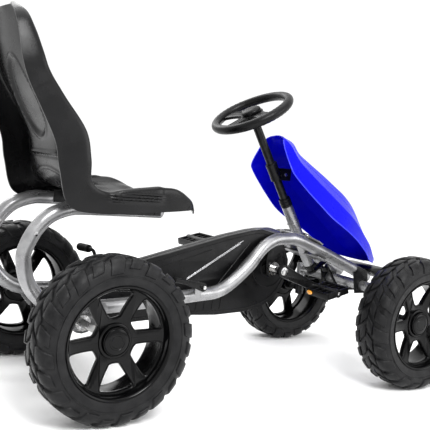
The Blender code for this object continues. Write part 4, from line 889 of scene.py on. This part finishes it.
# ---------------------------------------------------------------- crank and pedals
PEDAL = {}
for side, sx in SIDES:
    PEDAL[side] = Vector((sx * PEDAL_X, CRANK_Y, CRANK_Z)) + Vector((0, sx * math.cos(CRANK_A), sx * math.sin(CRANK_A))) * CRANK_ARM
for side, sx in SIDES:
    c, p = (CRANK_Y, CRANK_Z), (PEDAL[side].y, PEDAL[side].z)
    arm = plate(hull2(c, 0.0160, p, 0.0110), 0.011, yz(sx * 0.0985), [circle(*c, 0.0083, 32)], 0.0022)
    boss = lathe([(0.0083, 0), (0.0150, 0), (0.0158, 0.0008), (0.0158, 0.0018), (0.0083, 0.0018)], (sx * 0.1020, *c), (sx * 0.2, *c), 48)
    piece("crank_arm_skin_" + side, [(arm, "black_paint"), (boss, "black_paint"), (rod((sx * 0.0985, *p), (sx * 0.2040, *p), 0.0045, 24), "bright_steel"), (rod((sx * 0.1035, *p), (sx * 0.1090, *p), 0.0080, 6, 0.0008), "bright_steel")],
          "crank", ["crank_arm_" + side], 32)
    piece("crank_bolt_skin_" + side, [(m, "bright_steel") for m in hexagon(sx * 0.1043, sx * 0.1098, *c, 0.0090, 0.0105)], "crank", ["crank_bolt_" + side], 32)
    tilt = Matrix.Translation((0, *p)) @ Matrix.Rotation(math.radians(-14), 4, "X")
    cage = []
    loop = lambda x0, x1, y0, y1: [(x0, y0), (x1, y0), (x1, y1), (x0, y1)]

    def toothed(y, out):
        """A cage bar whose outer edge is cut into teeth."""
        pts = []
        n = 11
        x0, x1 = sx * 0.1140, sx * 0.1980
        for k in range(n):
            xa = x0 + (x1 - x0) * k / n
            xb = x0 + (x1 - x0) * (k + 0.5) / n
            pts += [(xa, 0.0075), (xb, 0.0090), (x0 + (x1 - x0) * (k + 0.99) / n, 0.0075)]
        pts += [(x1, -0.0075)]
        for k in range(n - 1, -1, -1):
            xb = x0 + (x1 - x0) * (k + 0.5) / n
            pts += [(xb, -0.0090), (x0 + (x1 - x0) * k / n, -0.0075)]
        return plate(pts, 0.0045, tilt @ Matrix.Translation((0, y, 0)) @ Matrix.Rotation(math.pi / 2, 4, "X"), bevel=0.0006)

    cage += [toothed(-0.0335, -1), toothed(0.0335, 1)]
    for x in (0.1150, 0.1970):
        lo, hi = sorted((sx * (x - 0.0030), sx * (x + 0.0030)))
        b = box((lo, -0.0330, -0.0080), (hi, 0.0330, 0.0080), 0.0012)
        b.transform(tilt)
        cage.append(b)
    for x in (0.1360, 0.1560, 0.1760):
        lo, hi = sorted((sx * (x - 0.0018), sx * (x + 0.0018)))
        b = box((lo, -0.0300, -0.0060), (hi, 0.0300, 0.0060), 0.0008)
        b.transform(tilt)
        cage.append(b)
    lo, hi = sorted((sx * 0.1110, sx * 0.2005))
    core = lathe([(0.0048, 0), (0.0098, 0), (0.0105, 0.0008), (0.0105, 0.0200), (0.0095, 0.0230), (0.0095, 0.0665), (0.0105, 0.0695), (0.0105, 0.0887), (0.0098, 0.0895), (0.0048, 0.0895)], (lo, *p), (hi, *p), 40)
    piece("pedal_skin_" + side, [(m, "black_plastic") for m in cage + [core]], "pedal_" + side, ["pedal_" + side], 32)
    lens_m = tilt @ Matrix.Translation((0, -0.0377 * sx, 0)) @ Matrix.Rotation(math.pi / 2, 4, "X")
    lens = plate(rounded(loop(sx * 0.122, sx * 0.140, -0.0050, 0.0050), 1), 0.0025, lens_m, bevel=0.0007)
    piece("lens_" + side, [(lens, "amber_reflector")], "pedal_" + side, ["pedal_reflector_" + side], 32)

# ---------------------------------------------------------------- chain guard
GUARD = [(0.436, 0.2105), (0.250, 0.2890), (0.014, 0.3530), (-0.060, 0.3690), (-0.092, 0.3730), (-0.135, 0.3630), (-0.168, 0.3350),
         (-0.1875, 0.2950), (-0.1890, 0.2600), (-0.1740, 0.2210), (-0.1470, 0.1890), (-0.1050, 0.1670), (-0.0470, 0.1570), (0.0300, 0.1520),
         (0.1000, 0.1540), (0.2500, 0.1440), (0.436, 0.1290), (0.458, 0.1350), (0.4725, 0.1510), (0.4770, 0.1700), (0.4725, 0.1890), (0.458, 0.2045)]


def inset(pts, d):
    n = len(pts)
    area = sum(pts[i][0] * pts[(i + 1) % n][1] - pts[(i + 1) % n][0] * pts[i][1] for i in range(n))
    s = 1 if area > 0 else -1
    out = []
    for i in range(n):
        a, b, c = Vector(pts[i - 1]), Vector(pts[i]), Vector(pts[(i + 1) % n])
        n1 = Vector((-(b - a).y, (b - a).x)).normalized() * s
        n2 = Vector((-(c - b).y, (c - b).x)).normalized() * s
        m = (n1 + n2)
        m = m / max(0.3, m.length_squared / 2) * 1.0
        out.append(tuple(b + m * d))
    return out


for side, sx, x_out in (("outer", -1, -0.0380), ("inner", 1, -0.0010)):
    x_in = -0.022 + sx * 0.00015
    wall = plate(GUARD, abs(x_out - x_in), yz((x_out + x_in) / 2), [inset(GUARD, 0.0025)], 0.0010)
    face_holes = [circle(CRANK_Y, CRANK_Z, 0.0120, 40), circle(AXLE_Y, WHEEL_R, 0.0130, 40)]
    base = plate(inset(GUARD, 0.0009), 0.0024, yz(x_out - sx * 0.0014), face_holes, 0.0009)
    parts = [(wall, "black_plastic"), (base, "black_plastic")]
    xf = x_out
    # the raised inner panel edge, upright ribs and the two trim lines
    parts.append((tube([Vector((xf, y, z)) for y, z in rounded(inset(GUARD, 0.0090), 2)], 0.0009, 8, True), "black_plastic"))
    for k in range(8):
        y0 = 0.020 + 0.024 * k
        parts.append((tube([(xf, y0, 0.166), (xf, y0 - 0.002, 0.186), (xf, y0 - 0.004, 0.206)], 0.0011, 8), "black_plastic"))

    def line(p, q, r, mat, push=0.0002):
        path = [Vector((xf + push * sx, p[0] + (q[0] - p[0]) * t / 8, p[1] + (q[1] - p[1]) * t / 8)) for t in range(9)]
        parts.append((tube(path, r, 10), mat))

    if side == "outer":
        line((0.125, 0.2470), (-0.033, 0.3420), 0.0009, "trim")
        line((0.131, 0.2400), (-0.026, 0.3345), 0.0007, "trim")
        line((0.034, 0.2290), (-0.056, 0.3370), 0.0016, "black_plastic")
        line((0.010, 0.2340), (-0.093, 0.3450), 0.0016, "black_plastic")
        line((0.225, 0.2050), (0.034, 0.2290), 0.0012, "black_plastic")
        line((0.260, 0.2550), (0.060, 0.3180), 0.0012, "black_plastic")
        parts.append((tube([Vector((xf, y, z)) for y, z in circle(CRANK_Y, CRANK_Z, 0.0260, 48)], 0.0011, 8, True), "black_plastic"))
        parts.append((tube([Vector((xf, y, z)) for y, z in circle(CRANK_Y, CRANK_Z, 0.0520, 64)], 0.0009, 8, True), "black_plastic"))
    piece("guard_skin_" + side, parts, "chassis", ["chain_guard_" + side], 32)

# ---------------------------------------------------------------- levers
lever = [plate(hull2((BRAKE.y, BRAKE.z), 0.0120, (0.2880, 0.2640), 0.0070), 0.006, yz(0.1350), [circle(BRAKE.y, BRAKE.z, 0.0050, 32)], 0.0012),
         tube(smooth_path([(0.1350, 0.2860, 0.2620), (0.1350, 0.2930, 0.2740), (0.1365, 0.2970, 0.2840), (0.1430, 0.3010, 0.2880), (0.1500, 0.3030, 0.2880)], 6), 0.0042, 20)]
piece("brake_lever_skin", [(m, "black_paint") for m in lever], "brake_lever", ["brake_lever"], 32)
grip_profile = [(0, 0), (0.0088, 0), (0.0098, 0.0010)]
for k in range(9):
    z0 = 0.004 + 0.0046 * k
    grip_profile += [(0.0100, z0), (0.0100, z0 + 0.0028), (0.0093, z0 + 0.0034), (0.0093, z0 + 0.0042)]
grip_profile += [(0.0100, 0.0462), (0.0094, 0.0482), (0.0078, 0.0487), (0, 0.0487)]
piece("brake_grip_skin", [(lathe(grip_profile, (0.1513, 0.3032, 0.2880), (0.2, 0.3070, 0.2860), 40), "grip_rubber")], "brake_lever", ["brake_grip"], 30)
gear = [plate(hull2((GEAR.y, GEAR.z), 0.0105, (0.178, 0.2530), 0.0060), 0.005, yz(-0.118), [circle(GEAR.y, GEAR.z, 0.0050, 32)], 0.0010),
        tube(smooth_path([(-0.118, 0.174, 0.2520), (-0.119, 0.192, 0.2560), (-0.120, 0.209, 0.2585)], 8), lambda i: 0.0062 + 0.0003 * math.sin(i * 1.6), 24)]
piece("gear_lever_skin", [(gear[0], "black_paint"), (gear[1], "black_plastic")], "gear_lever", ["gear_lever"], 32)

# ---------------------------------------------------------------- kept CAD nodes
SLOT_OF = {s["node"]: s["material_slot"] for s in frame["record"]["subparts"]}
for name, ob in NODES.items():
    ob.data.materials.clear()
    ob.data.materials.append(M[SLOT_OF[name]])
    for f in ob.data.polygons:
        f.material_index = 0

# ---------------------------------------------------------------- floor, light, camera
floor_me = bpy.data.meshes.new("floor")
floor_me.from_pydata([(-40, -40, 0), (40, -40, 0), (40, 40, 0), (-40, 40, 0)], [], [(0, 1, 2, 3)])
floor = bpy.data.objects.new("floor", floor_me)
scene.collection.objects.link(floor)
fm = bpy.data.materials.new("floor_pale")
fm.use_nodes = True
fb = fm.node_tree.nodes["Principled BSDF"]
fb.inputs["Roughness"].default_value = 0.6
fn = fm.node_tree.nodes.new("ShaderNodeTexNoise")
fn.inputs["Scale"].default_value = 3.0
fr = fm.node_tree.nodes.new("ShaderNodeValToRGB")
fr.color_ramp.elements[0].color = (0.96, 0.96, 0.96, 1)
fr.color_ramp.elements[1].color = (0.985, 0.985, 0.985, 1)
fm.node_tree.links.new(fn.outputs["Fac"], fr.inputs["Fac"])
fm.node_tree.links.new(fr.outputs["Color"], fb.inputs["Base Color"])
floor_me.materials.append(fm)

world = bpy.data.worlds.new("studio")
scene.world = world
world.use_nodes = True
world.node_tree.nodes["Background"].inputs["Color"].default_value = (1, 1, 1, 1)
world.node_tree.nodes["Background"].inputs["Strength"].default_value = 1.0


def area(name, at, aim, size, power, size_y=None):
    la = bpy.data.lights.new(name, "AREA")
    la.energy = power
    la.size = size
    if size_y:
        la.shape = "RECTANGLE"
        la.size_y = size_y
    ob = bpy.data.objects.new(name, la)
    scene.collection.objects.link(ob)
    ob.location = at
    ob.rotation_euler = (Vector(aim) - Vector(at)).to_track_quat("-Z", "Y").to_euler()
    return ob


area("key", (-2.4, 0.6, 2.6), (0, 0, 0.35), 1.3, 95)
area("fill", (-2.4, -2.0, 1.4), (0, -0.1, 0.3), 1.6, 22)
area("back", (2.2, 0.4, 2.4), (0, 0, 0.4), 1.8, 34)
area("top", (0.0, 0.0, 3.2), (0, 0, 0.3), 2.4, 30)

a, e, r = map(math.radians, (235.946, 4.5234, 5.5853))
back = Vector((math.sin(a) * math.cos(e), -math.cos(a) * math.cos(e), math.sin(e)))
right0 = Vector((0, 0, 1)).cross(back).normalized()
up0 = back.cross(right0)
right = right0 * math.cos(r) + up0 * math.sin(r)
upv = -right0 * math.sin(r) + up0 * math.cos(r)
C = Vector((-1.6602, 1.1569, 0.5599)) + SHIFT
cam_data = bpy.data.cameras.new("camera")
cam_data.sensor_width = 36.0
cam_data.lens = 66.42
cam_data.clip_end = 200
cam = bpy.data.objects.new("camera", cam_data)
scene.collection.objects.link(cam)
cam.matrix_world = Matrix(((right.x, upv.x, back.x, C.x), (right.y, upv.y, back.y, C.y), (right.z, upv.z, back.z, C.z), (0, 0, 0, 1)))
scene.camera = cam

bpy.data.collections.remove(work)
